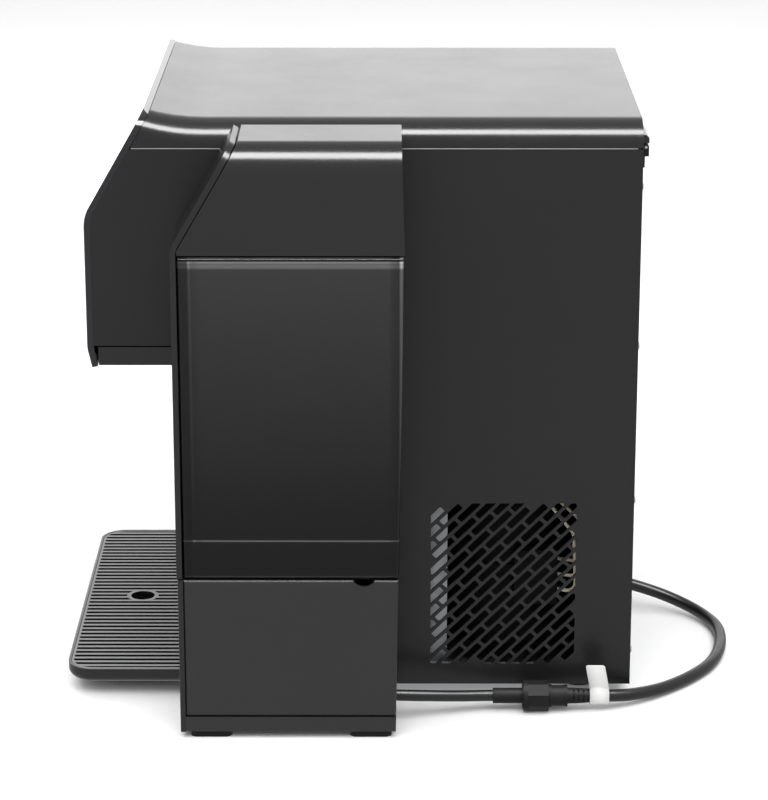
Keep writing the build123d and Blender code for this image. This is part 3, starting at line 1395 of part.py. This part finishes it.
# Paper label folded round the hose, its two ends stuck together as a flag.
label_y = relief_y + 17.0
label_len = 13.0
flag_h = 19.0
with BuildPart() as line_label:
    label_end = (coupling_x - 0.8, label_y + label_len, coupling_z - 0.9)
    rod((coupling_x, label_y, coupling_z), label_end, hose_r + 1.4)
    rod((coupling_x, label_y - 1, coupling_z), label_end, hose_r + 1.0, mode=Mode.SUBTRACT)
    block((coupling_x - 0.4, label_y, coupling_z + hose_r + 1.0),
          (coupling_x + 0.4, label_y + label_len, coupling_z + hose_r + 1.0 + flag_h))
line_label.part.label = "line_label"
export_step(line_label.part, "parts/line_label.step")
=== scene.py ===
import json
from math import cos, pi, radians, sin, tau

import bmesh
import bpy
from mathutils import Matrix, Vector


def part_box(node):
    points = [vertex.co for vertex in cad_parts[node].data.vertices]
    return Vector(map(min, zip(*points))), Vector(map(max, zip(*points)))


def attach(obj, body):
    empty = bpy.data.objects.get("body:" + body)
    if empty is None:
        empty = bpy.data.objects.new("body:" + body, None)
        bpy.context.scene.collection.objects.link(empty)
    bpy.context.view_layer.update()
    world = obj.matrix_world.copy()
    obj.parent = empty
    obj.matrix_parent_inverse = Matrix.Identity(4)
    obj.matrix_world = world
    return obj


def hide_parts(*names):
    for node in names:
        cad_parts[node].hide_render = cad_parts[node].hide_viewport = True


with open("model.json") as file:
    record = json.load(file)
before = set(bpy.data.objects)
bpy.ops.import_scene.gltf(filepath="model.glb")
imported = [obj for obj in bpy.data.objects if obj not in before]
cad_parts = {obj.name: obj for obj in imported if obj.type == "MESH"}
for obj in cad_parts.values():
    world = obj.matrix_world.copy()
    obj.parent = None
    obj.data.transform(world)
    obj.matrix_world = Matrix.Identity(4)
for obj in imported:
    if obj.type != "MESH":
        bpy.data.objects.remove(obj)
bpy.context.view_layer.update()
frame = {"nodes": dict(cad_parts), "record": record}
nodes = frame["nodes"]


# ---------------------------------------------------------------- view and lights
camera_place = (2.1504, 0.0290, 0.8693)
camera_tilt = radians(17.393)      # down from level
camera_turn = radians(0.124)       # round from the X axis
camera_lens = 133.13               # mm, on a sensor 36 mm wide


def add_camera():
    """Camera on the tank's side, looking down a little."""
    data = bpy.data.cameras.new("view")
    data.lens = camera_lens
    data.sensor_width = 36.0
    data.clip_end = 100.0
    camera = bpy.data.objects.new("view", data)
    ahead = Vector((
        -cos(camera_tilt) * cos(camera_turn),
        -cos(camera_tilt) * sin(camera_turn),
        -sin(camera_tilt),
    ))
    camera.location = camera_place
    camera.rotation_euler = ahead.to_track_quat("-Z", "Y").to_euler()
    bpy.context.scene.collection.objects.link(camera)
    bpy.context.scene.camera = camera


def add_softbox(name, place, target, size, power, sheen=False):
    """A large rectangular soft light aimed at a point, either for sheens or for matte faces."""
    data = bpy.data.lights.new(name, "AREA")
    data.shape = "RECTANGLE"
    data.size, data.size_y = size
    data.energy = power
    light = bpy.data.objects.new(name, data)
    light.location = place
    aim = Vector(target) - Vector(place)
    light.rotation_euler = aim.to_track_quat("-Z", "X").to_euler()
    light.visible_diffuse = not sheen
    light.visible_glossy = sheen
    light.visible_camera = False
    bpy.context.scene.collection.objects.link(light)


def add_world(strength):
    """Even white surroundings."""
    world = bpy.data.worlds.new("studio")
    world.use_nodes = True
    background = world.node_tree.nodes["Background"]
    background.inputs["Color"].default_value = (1.0, 1.0, 1.0, 1.0)
    background.inputs["Strength"].default_value = strength
    bpy.context.scene.world = world


# ---------------------------------------------------------------- shader maths
class Surface:
    """A socket that varies over a surface, with Python's operators as Math nodes."""

    def __init__(self, finish, socket):
        self.finish = finish
        self.socket = socket

    def math(self, operation, first, second):
        return self.finish.node("ShaderNodeMath", {"operation": operation}, {0: first, 1: second})

    def __add__(self, other):
        return self.math("ADD", self, other)

    def __sub__(self, other):
        return self.math("SUBTRACT", self, other)

    def __mul__(self, other):
        return self.math("MULTIPLY", self, other)

    def __truediv__(self, other):
        return self.math("DIVIDE", self, other)

    def __rsub__(self, other):
        return self.math("SUBTRACT", other, self)

    __radd__ = __add__
    __rmul__ = __mul__


class Finish:
    """One procedural material and the tree that it is built in."""

    def __init__(self, name):
        self.material = bpy.data.materials.new(name)
        self.material.use_nodes = True
        self.tree = self.material.node_tree
        self.tree.nodes.clear()

    def node(self, kind, settings=None, values=None, output=0):
        """Adds a node: its settings first, then the values or links of its sockets."""
        made = self.tree.nodes.new(kind)
        for key, value in (settings or {}).items():
            if key == "stops":
                self.set_stops(made.color_ramp, value)
            else:
                setattr(made, key, value)
        for key, value in (values or {}).items():
            if isinstance(value, Surface):
                self.tree.links.new(value.socket, made.inputs[key])
            else:
                made.inputs[key].default_value = value
        return Surface(self, made.outputs[output])

    def set_stops(self, ramp, stops):
        """Places a colour ramp's stops: pairs of position and grey or colour."""
        while len(ramp.elements) > 1:
            ramp.elements.remove(ramp.elements[-1])
        for i, (place, colour) in enumerate(stops):
            stop = ramp.elements[0] if i == 0 else ramp.elements.new(place)
            stop.position = place
            stop.color = colour if hasattr(colour, "__len__") else (colour, colour, colour, 1.0)

    def place(self):
        """Position in the object's own space, in metres."""
        return self.node("ShaderNodeTexCoord", output="Object")

    def noise(self, scale, detail=3.0, roughness=0.5, at=None):
        values = {"Vector": at or self.place(), "Scale": scale, "Detail": detail}
        values["Roughness"] = roughness
        return self.node("ShaderNodeTexNoise", {}, values)

    def stretched(self, scale):
        """Position stretched along the axes, for brushed or drawn surfaces."""
        return self.node("ShaderNodeMapping", {}, {"Vector": self.place(), "Scale": scale})

    def ramp(self, value, stops):
        return self.node("ShaderNodeValToRGB", {"stops": stops}, {"Fac": value})

    def blend(self, share, first, second):
        """Colour between two colours."""
        settings = {"data_type": "RGBA"}
        return self.node("ShaderNodeMix", settings, {0: share, 6: first, 7: second}, output=2)

    def bump(self, height, depth, strength=1.0):
        values = {"Height": height, "Distance": depth, "Strength": strength}
        return self.node("ShaderNodeBump", {}, values)

    def finish(self, **sockets):
        """Closes the tree with a principled surface; underscores stand for spaces."""
        values = {key.replace("_", " "): value for key, value in sockets.items()}
        shader = self.node("ShaderNodeBsdfPrincipled", {}, values)
        output = self.tree.nodes.new("ShaderNodeOutputMaterial")
        self.tree.links.new(shader.socket, output.inputs["Surface"])
        return self.material


def shade(colour, factor):
    """The same colour, lighter or darker."""
    return tuple(channel * factor for channel in colour[:3]) + (1.0,)


# ---------------------------------------------------------------- finishes
def powder_coat(name, colour, roughness=0.42, gloss=0.42):
    """Satin powder coat on sheet steel: a fine pebbled skin with faint cloudiness."""
    f = Finish(name)
    cloud = f.noise(7.0, 4.0)
    pebble = f.noise(1300.0, 2.0, 0.6)
    skin = f.noise(260.0, 2.0)
    tone = f.blend(cloud, shade(colour, 0.90), shade(colour, 1.10))
    return f.finish(
        Base_Color=tone,
        Roughness=roughness + (cloud - 0.5) * 0.10 + (pebble - 0.5) * 0.06,
        Normal=f.bump(pebble * 0.7 + skin * 0.3, 0.00005, 0.55),
        Specular_IOR_Level=gloss,
    )


def moulded(name, colour, roughness=0.4, grain=700.0, depth=0.00005):
    """Moulded plastic with a fine spark-eroded grain and slightly uneven gloss."""
    f = Finish(name)
    grain_height = f.noise(grain, 3.0, 0.65)
    flow = f.noise(14.0, 3.0)
    return f.finish(
        Base_Color=f.blend(flow, shade(colour, 0.92), shade(colour, 1.08)),
        Roughness=roughness + (flow - 0.5) * 0.12 + (grain_height - 0.5) * 0.08,
        Normal=f.bump(grain_height, depth, 0.5),
    )


def polished(name, colour, roughness=0.08):
    """Polished plastic or glass front with faint handling marks."""
    f = Finish(name)
    smear = f.noise(22.0, 5.0, 0.65)
    hairline = f.noise(90.0, 4.0, 0.7, at=f.stretched((1.0, 14.0, 1.0)))
    marks = f.ramp(hairline, [(0.62, 0.0), (0.72, 1.0)])
    return f.finish(
        Base_Color=f.blend(smear, shade(colour, 0.85), shade(colour, 1.15)),
        Roughness=roughness + (smear - 0.5) * 0.08 + marks * 0.05,
        Specular_IOR_Level=0.35,
        Coat_Weight=0.35,
        Coat_Roughness=0.04,
    )


def smoked(name, body, floor, rim):
    """Smoked plastic, glossy and nearly opaque. Much of its colour is painted light: its own dark
    smoke tint is darkened towards the floor by painted shade, and bright bands are painted
    highlights where the beads of its rim and floor catch the light.

    The first ramp runs from the floor (0) to the rim (1), the second from front (0) to back (1).
    """
    f = Finish(name)
    low, high = body
    haze = f.noise(9.0, 4.0)
    scuff = f.noise(160.0, 3.0, 0.7)
    place = f.place()
    height = f.node("ShaderNodeSeparateXYZ", {}, {0: place}, output="Z")
    across = f.node("ShaderNodeSeparateXYZ", {}, {0: place}, output="Y")
    # painted shade makes it darker towards the floor; the narrow bright bands are painted
    # highlights on the floor's and the rim's beads
    depth = f.ramp((height - floor) / (rim - floor), [
        (0.0, 0.001), (0.010, 0.001), (0.0125, 0.026), (0.0155, 0.001),
        (0.123, 0.002), (0.124, 0.09), (0.1265, 0.09), (0.1275, 0.002),
        (0.22, 0.003), (0.45, 0.009), (0.70, 0.015), (0.959, 0.023), (0.962, 0.045),
        (0.965, 0.085), (0.976, 0.085), (0.9775, 0.030), (0.9795, 0.030), (0.9808, 0.20),
        (0.9832, 0.20), (0.9842, 0.004), (0.9898, 0.004), (0.9905, 0.115), (0.9925, 0.115),
        (0.9935, 0.004), (1.0, 0.002),
    ])
    # painted shade near the front and back ends, and painted highlight lines along the wall's
    # edges
    wall = f.ramp((across - low[1]) / (high[1] - low[1]), [
        (0.0, 0.25), (0.045, 0.30), (0.055, 1.5), (0.062, 0.75), (0.10, 1.0),
        (0.93, 1.0), (0.945, 0.7), (0.975, 0.5), (0.982, 3.2), (0.990, 3.2), (0.994, 0.2),
    ])
    return f.finish(
        Base_Color=f.blend(haze, depth * wall * 0.9, depth * wall * 1.1),
        Roughness=0.16 + (haze - 0.5) * 0.08 + (scuff - 0.5) * 0.04,
        Alpha=0.93,
        Specular_IOR_Level=0.3,
        Coat_Weight=0.1,
        Coat_Roughness=0.06,
    )


def slatted(name, top, shaded_side_colour):
    """Satin coated slats: paler on their upper faces as painted light, dark down their sides as
    painted shade; the paler tone varies at random.
    """
    f = Finish(name)
    facing = f.node("ShaderNodeNewGeometry", output="True Normal")
    upward = f.node("ShaderNodeSeparateXYZ", {}, {0: facing}, output="Z")
    wear = f.noise(40.0, 4.0)
    # faces turned upward get the painted light, the rest get painted shade
    share = f.ramp(upward, [(0.6, 0.0), (0.9, 1.0)])
    lit_top_colour = f.blend(wear, shade(top, 0.92), shade(top, 1.08))
    return f.finish(
        Base_Color=f.blend(share, shaded_side_colour, lit_top_colour),
        Roughness=0.42 + (wear - 0.5) * 0.12,
        Normal=f.bump(f.noise(900.0, 2.0), 0.00004, 0.4),
        Specular_IOR_Level=0.3,
    )


def rubber(name, colour, roughness=0.62):
    """Matte rubber with a soft bloom in random patches."""
    f = Finish(name)
    bloom = f.noise(45.0, 4.0)
    pores = f.noise(900.0, 2.0)
    dust = f.ramp(bloom, [(0.45, 0.0), (0.75, 1.0)])
    return f.finish(
        Base_Color=f.blend(dust, colour, shade(colour, 1.5)),
        Roughness=roughness + (bloom - 0.5) * 0.15,
        Normal=f.bump(pores, 0.00006, 0.5),
        Specular_IOR_Level=0.25,
    )


def vinyl(name, colour, roughness=0.3):
    """Extruded vinyl tube: satin, with faint drawing lines."""
    f = Finish(name)
    lines = f.noise(60.0, 3.0, 0.6)
    skin = f.noise(700.0, 2.0)
    return f.finish(
        Base_Color=f.blend(lines, shade(colour, 0.85), shade(colour, 1.2)),
        Roughness=roughness + (lines - 0.5) * 0.14,
        Normal=f.bump(skin, 0.00004, 0.4),
    )


def metal(name, colour, roughness, stretch=(1.0, 1.0, 1.0), scale=80.0):
    """Bare metal, brushed or drawn along the axis that is stretched least."""
    f = Finish(name)
    lines = f.noise(scale, 4.0, 0.7, at=f.stretched(stretch))
    tarnish = f.noise(18.0, 3.0)
    return f.finish(
        Base_Color=f.blend(tarnish, shade(colour, 0.82), colour),
        Metallic=1.0,
        Roughness=roughness + (lines - 0.5) * 0.2,
        Normal=f.bump(lines, 0.00004, 0.5),
    )


def zinc(name, colour):
    """Hot-dipped zinc with its flowered spangle."""
    f = Finish(name)
    cells = {"Vector": f.place(), "Scale": 130.0}
    spangle = f.node("ShaderNodeTexVoronoi", {"feature": "F1"}, cells, output="Color")
    grey = f.node("ShaderNodeRGBToBW", {}, {0: spangle})
    return f.finish(
        Base_Color=f.blend(grey, shade(colour, 0.8), colour),
        Metallic=1.0,
        Roughness=0.32 + grey * 0.2,
    )


def paper(name, colour):
    """Matte label paper with a faint fibre."""
    f = Finish(name)
    fibre = f.noise(900.0, 4.0, 0.7, at=f.stretched((1.0, 1.0, 3.0)))
    return f.finish(
        Base_Color=f.blend(fibre, shade(colour, 0.95), colour),
        Roughness=0.75 + (fibre - 0.5) * 0.1,
        Normal=f.bump(fibre, 0.00003, 0.4),
    )


def board(name, colour):
    """Circuit board: solder mask over lines of copper."""
    f = Finish(name)
    at = {"Vector": f.place(), "Scale": 260.0}
    tracks = f.node("ShaderNodeTexVoronoi", {"distance": "MANHATTAN"}, at, output="Distance")
    line = f.ramp(tracks, [(0.42, 0.0), (0.46, 1.0)])
    return f.finish(
        Base_Color=f.blend(line, colour, shade(colour, 1.8)),
        Roughness=0.35 + line * 0.1,
        Normal=f.bump(line, 0.00004, 0.5),
    )


def pale_floor(name):
    """Plain white studio floor."""
    f = Finish(name)
    mottle = f.noise(3.0, 2.0)
    return f.finish(
        Base_Color=f.blend(mottle, (0.90, 0.90, 0.90, 1.0), (0.93, 0.93, 0.93, 1.0)),
        Roughness=0.55 + (mottle - 0.5) * 0.05,
        Specular_IOR_Level=0.3,
    )


black = (0.0078, 0.0078, 0.0086, 1.0)
finishes = {
    "satin_black_steel": powder_coat("satin_black_steel", black, 0.30),
    "gloss_black_panel": polished("gloss_black_panel", (0.010, 0.010, 0.012, 1.0)),
    "satin_black_plastic": moulded("satin_black_plastic", black, 0.21),
    "tank_base_plastic": moulded("tank_base_plastic", (0.0125, 0.0125, 0.0138, 1.0), 0.42),
    "smoked_clear_plastic": smoked(
        "smoked_clear_plastic",
        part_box("reservoir"),
        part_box("tank_base")[1][2],
        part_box("tank_cap")[0][2],
    ),
    # pale painted light on the slats' upper faces, dark painted shade down their sides
    "grid_grey": slatted("grid_grey", (0.20, 0.20, 0.205, 1.0), (0.004, 0.004, 0.004, 1.0)),
    "black_rubber": rubber("black_rubber", (0.005, 0.005, 0.005, 1.0)),
    "black_vinyl": vinyl("black_vinyl", (0.006, 0.006, 0.007, 1.0), 0.34),
    "white_plastic": moulded("white_plastic", (0.78, 0.79, 0.80, 1.0), 0.35),
    "stainless_steel": metal("stainless_steel", (0.62, 0.62, 0.61, 1.0), 0.3, (1.0, 1.0, 8.0)),
    "galvanised_steel": zinc("galvanised_steel", (0.66, 0.68, 0.70, 1.0)),
    "copper": metal("copper", (0.85, 0.45, 0.28, 1.0), 0.3),
    "cream_wire": vinyl("cream_wire", (0.72, 0.66, 0.50, 1.0), 0.4),
    "board_green": board("board_green", (0.02, 0.13, 0.05, 1.0)),
    "motor_black": powder_coat("motor_black", (0.004, 0.004, 0.005, 1.0), 0.5, gloss=0.12),
    "grey_plastic": moulded("grey_plastic", (0.26, 0.27, 0.28, 1.0), 0.4),
    "fin_aluminium": metal("fin_aluminium", (0.80, 0.81, 0.82, 1.0), 0.28, (1.0, 6.0, 1.0)),
    "label_paper": paper("label_paper", (0.57, 0.57, 0.56, 1.0)),
    "display_glass": polished("display_glass", (0.012, 0.012, 0.018, 1.0), 0.05),
}


def put_finish(piece, name):
    """Gives a piece one finish, in place of any that it has."""
    piece.data.materials.clear()
    piece.data.materials.append(finishes[name])


def finish_frame():
    """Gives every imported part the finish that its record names."""
    for row in frame["record"]["subparts"]:
        put_finish(nodes[row["node"]], row["material_slot"])


# ---------------------------------------------------------------- mesh helpers
def from_bmesh(name, mesh, finish, body, smooth=True):
    """Turns a bmesh into a piece that rides on a body."""
    data = bpy.data.meshes.new(name)
    bmesh.ops.recalc_face_normals(mesh, faces=mesh.faces)
    mesh.to_mesh(data)
    mesh.free()
    for face in data.polygons:
        face.use_smooth = smooth
    piece = bpy.data.objects.new(name, data)
    bpy.context.scene.collection.objects.link(piece)
    data.materials.append(finishes[finish])
    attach(piece, body)
    return piece


# ---------------------------------------------------------------- the line from tank to machine
tail_radius = 0.0042
hose_radius = 0.0046

tail_route = [
    (0.1535, 0.0335, 0.0180),
    (0.1528, 0.0461, 0.0174),
    (0.1496, 0.0611, 0.0158),
    (0.1454, 0.0766, 0.0139),
    (0.1412, 0.0916, 0.0123),
    (0.1390, 0.1047, 0.0116),
]
hose_route = [
    (0.1390, 0.1783, 0.0116),
    (0.1350, 0.1980, 0.0096),
    (0.1230, 0.2180, 0.0072),
    (0.1090, 0.2345, 0.0054),
    (0.0880, 0.2550, 0.0048),
    (0.0615, 0.2735, 0.0048),
    (0.0285, 0.2840, 0.0047),
    (-0.0100, 0.2875, 0.0049),
    (-0.0355, 0.2790, 0.0056),
    (-0.0515, 0.2665, 0.0082),
    (-0.0625, 0.2485, 0.0130),
    (-0.0665, 0.2280, 0.0188),
    (-0.0660, 0.2114, 0.0240),
]


def soft_line(name, route, radius, finish):
    """A round tube on one smooth curve through its route."""
    curve = bpy.data.curves.new(name, "CURVE")
    curve.dimensions = "3D"
    curve.resolution_u = 16
    curve.bevel_depth = radius
    curve.bevel_resolution = 8
    curve.use_fill_caps = True
    spline = curve.splines.new("NURBS")
    spline.points.add(len(route) - 1)
    for point, place in zip(spline.points, route):
        point.co = (*place, 1.0)
    spline.order_u = 3
    spline.use_endpoint_u = True
    line = bpy.data.objects.new(name, curve)
    bpy.context.scene.collection.objects.link(line)
    curve.materials.append(finishes[finish])
    return line


def add_lines():
    """The tank's tail and the machine's hose, joined at the coupling."""
    tail = soft_line("tail_tube", tail_route, tail_radius, "black_vinyl")
    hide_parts("tank_tail")
    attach(tail, "machine")
    hose = soft_line("hose_tube", hose_route[::-1], hose_radius, "black_vinyl")
    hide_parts("main_hose")
    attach(hose, "machine")


def add_label():
    """Paper label: wrapped once round the line, its two ends stuck together as a leaning flag."""
    low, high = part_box("line_label")
    relief_low, relief_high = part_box("strain_relief")
    centre_x = (relief_low[0] + relief_high[0]) / 2
    centre_z = (relief_low[2] + relief_high[2]) / 2
    wrap_r = 0.0060
    wrap_steps = 30
    flag_top = high[2] - 0.0004
    flag_low = centre_z + wrap_r + 0.0006
    flag_steps = 18
    crowding = 1.2          # over 1, so that the rows lie closer near the rounded corners
    bow = 0.0012            # how far the flag bows sideways
    aside = 0.0003          # how far it stands beside the line's middle
    slope = -0.19           # how far it leans to the front, for each unit of height
    corner = 0.0016         # radius of the paper's two corners
    rows = []
    for i in range(flag_steps + 1):
        share = i / flag_steps
        z = flag_top + (flag_low - flag_top) * share ** crowding
        rows.append((centre_x + bow * sin(pi * share) + aside, z))
    for i in range(1, wrap_steps):
        turn = pi / 2 - tau * i / wrap_steps
        rows.append((centre_x + wrap_r * cos(turn), centre_z + wrap_r * sin(turn)))
    mesh = bmesh.new()
    grid = []
    for x, z in rows:
        down = max(0.0, corner - (flag_top - z))
        tuck = corner - (max(corner * corner - down * down, 0.0)) ** 0.5
        lean = slope * max(0.0, z - flag_low)
        half = (high[1] - low[1]) / 2 - tuck
        middle = (high[1] + low[1]) / 2 + lean
        grid.append([mesh.verts.new((x, middle + half * side, z)) for side in (-1.0, 0.0, 1.0)])
    for upper, lower in zip(grid, grid[1:]):
        for i in range(2):
            mesh.faces.new((upper[i], upper[i + 1], lower[i + 1], lower[i]))
    label = from_bmesh("label_flag", mesh, "label_paper", "machine")
    paper_skin = label.modifiers.new("paper", "SOLIDIFY")
    paper_skin.thickness = 0.0002
    paper_skin.offset = 0.0
    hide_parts("line_label")


# ---------------------------------------------------------------- small parts
def ring_stack(mesh, rings, axis_place, turn, segments=24):
    """Rings of points joined into a closed skin.

    Each ring is a radius, a height, and how far it is a hexagon, from 0 for round to 1.
    """
    loops = []
    for radius, height, hexed in rings:
        loop = []
        for i in range(segments):
            angle = tau * i / segments
            corner = cos(pi / 6) / cos((angle % (pi / 3)) - pi / 6)
            reach = radius * (1.0 + hexed * (corner - 1.0))
            point = turn @ Vector((reach * cos(angle), reach * sin(angle), height))
            loop.append(mesh.verts.new(Vector(axis_place) + point))
        loops.append(loop)
    for lower, upper in zip(loops, loops[1:]):
        for i in range(segments):
            j = (i + 1) % segments
            mesh.faces.new((lower[i], lower[j], upper[j], upper[i]))
    mesh.faces.new(loops[-1])
    mesh.faces.new(loops[0][::-1])


def add_rear_screws():
    """Button-head screws that hold the rear panel."""
    low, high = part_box("rear_panel")
    out = Matrix.Rotation(-pi / 2, 3, "X")
    rings = [
        (0.0029, -0.0004, 0.0), (0.0030, 0.0004, 0.0), (0.0026, 0.0011, 0.0),
        (0.0018, 0.0015, 0.0), (0.0013, 0.0015, 1.0), (0.0012, 0.0004, 1.0),
    ]
    inset = 0.007                       # from the panel's side edges
    heights = (0.06, 0.35, 0.64, 0.93)  # shares of the panel's height
    mesh = bmesh.new()
    for x in (low[0] + inset, high[0] - inset):
        for share in heights:
            z = low[2] + (high[2] - low[2]) * share
            ring_stack(mesh, rings, (x, high[1], z), out)
    from_bmesh("rear_screws", mesh, "stainless_steel", "machine", smooth=False)


def add_inlet_pins():
    """Blade pins of the mains inlet, with rounded tips."""
    low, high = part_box("power_inlet")
    socket_shift = 0.010    # from the inlet's middle to the socket's
    sunk = 0.0118           # from the inlet's outer face to the pins' middles
    wide, long, tall = 0.0021, 0.0156, 0.0041
    tip_r = 0.0004
    places = ((-0.007, 0.002), (0.007, 0.002), (0.0, -0.003))
    middle_x = (low[0] + high[0]) / 2 - socket_shift
    middle_z = (low[2] + high[2]) / 2
    mesh = bmesh.new()
    for x, z in places:
        made = bmesh.ops.create_cube(mesh, size=1.0)["verts"]
        for vert in made:
            vert.co = Vector((
                middle_x + x + vert.co.x * wide,
                high[1] - sunk + vert.co.y * long,
                middle_z + z + vert.co.z * tall,
            ))
    bmesh.ops.bevel(mesh, geom=list(mesh.edges), offset=tip_r, segments=2, affect="EDGES")
    from_bmesh("inlet_pins", mesh, "stainless_steel", "machine")


def add_seam_highlight():
    """Pale strip that shows as a fine line in the seam below the cover: a painted highlight,
    standing for the bright edge of the seam.
    """
    panel_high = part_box("right_side_panel")[1]
    cover_low, cover_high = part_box("top_cover")
    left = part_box("left_side_panel")[0][0]
    seam_low, seam_high = panel_high[2], cover_low[2]
    middle = (seam_low + seam_high) / 2
    front = cover_low[1] + 0.0008
    back = cover_high[1] - 0.004
    depth = 0.0012          # how far the round edge reaches in
    side = 0.0001           # how far it stays inside the panel's face
    half_height = 0.00036
    steps = 8
    mesh = bmesh.new()
    for edge, inward in ((panel_high[0], -1.0), (left, 1.0)):
        outline = []
        for i in range(steps + 1):
            angle = -pi / 2 + pi * i / steps
            outline.append((edge + inward * (side + depth * (1.0 - cos(angle))),
                            middle + half_height * sin(angle)))
        ends = []
        for y in (front, back):
            ends.append([mesh.verts.new((x, y, z)) for x, z in outline])
        for i in range(steps):
            mesh.faces.new((ends[0][i], ends[0][i + 1], ends[1][i + 1], ends[1][i]))
        mesh.faces.new((ends[0][0], ends[0][-1], ends[1][-1], ends[1][0]))
        mesh.faces.new(ends[0])
        mesh.faces.new(ends[1][::-1])
    # a pale piece put where the seam's edge catches the light: painted highlight
    from_bmesh("seam_highlight", mesh, "label_paper", "machine")


# ---------------------------------------------------------------- studio
def add_floor():
    """Plain floor, large enough to fill the view, which no gloss reflects."""
    mesh = bmesh.new()
    bmesh.ops.create_grid(mesh, x_segments=1, y_segments=1, size=20.0)
    data = bpy.data.meshes.new("floor")
    mesh.to_mesh(data)
    mesh.free()
    data.materials.append(pale_floor("pale_floor"))
    floor = bpy.data.objects.new("floor", data)
    floor.visible_glossy = False
    bpy.context.scene.collection.objects.link(floor)


add_camera()
add_label()
add_lines()
finish_frame()
add_rear_screws()
add_inlet_pins()
add_seam_highlight()
add_floor()
bpy.context.scene.view_settings.view_transform = "Standard"
add_world(0.62)
add_softbox("overhead", (0.3, 0.0, 3.0), (0.0, 0.0, 0.0), (5.0, 5.0), 130.0)
add_softbox("fill", (2.6, 0.0, 2.8), (0.2, 0.0, 0.0), (3.0, 4.0), 90.0)
add_softbox("far_wall", (-3.0, 0.0, 1.08), (0.0, 0.0, 0.43), (1.25, 5.0), 24.5, sheen=True)
add_softbox("edge_light", (0.85, 0.0, 3.1), (0.1, 0.0, 0.4), (1.15, 4.2), 300.0, sheen=True)
# in place of the floor's reflection in the glossy faces behind
add_softbox("far_floor", (-3.4, 0.0, 0.02), (-3.4, 0.0, 1.0), (5.0, 5.2), 150.0, sheen=True)
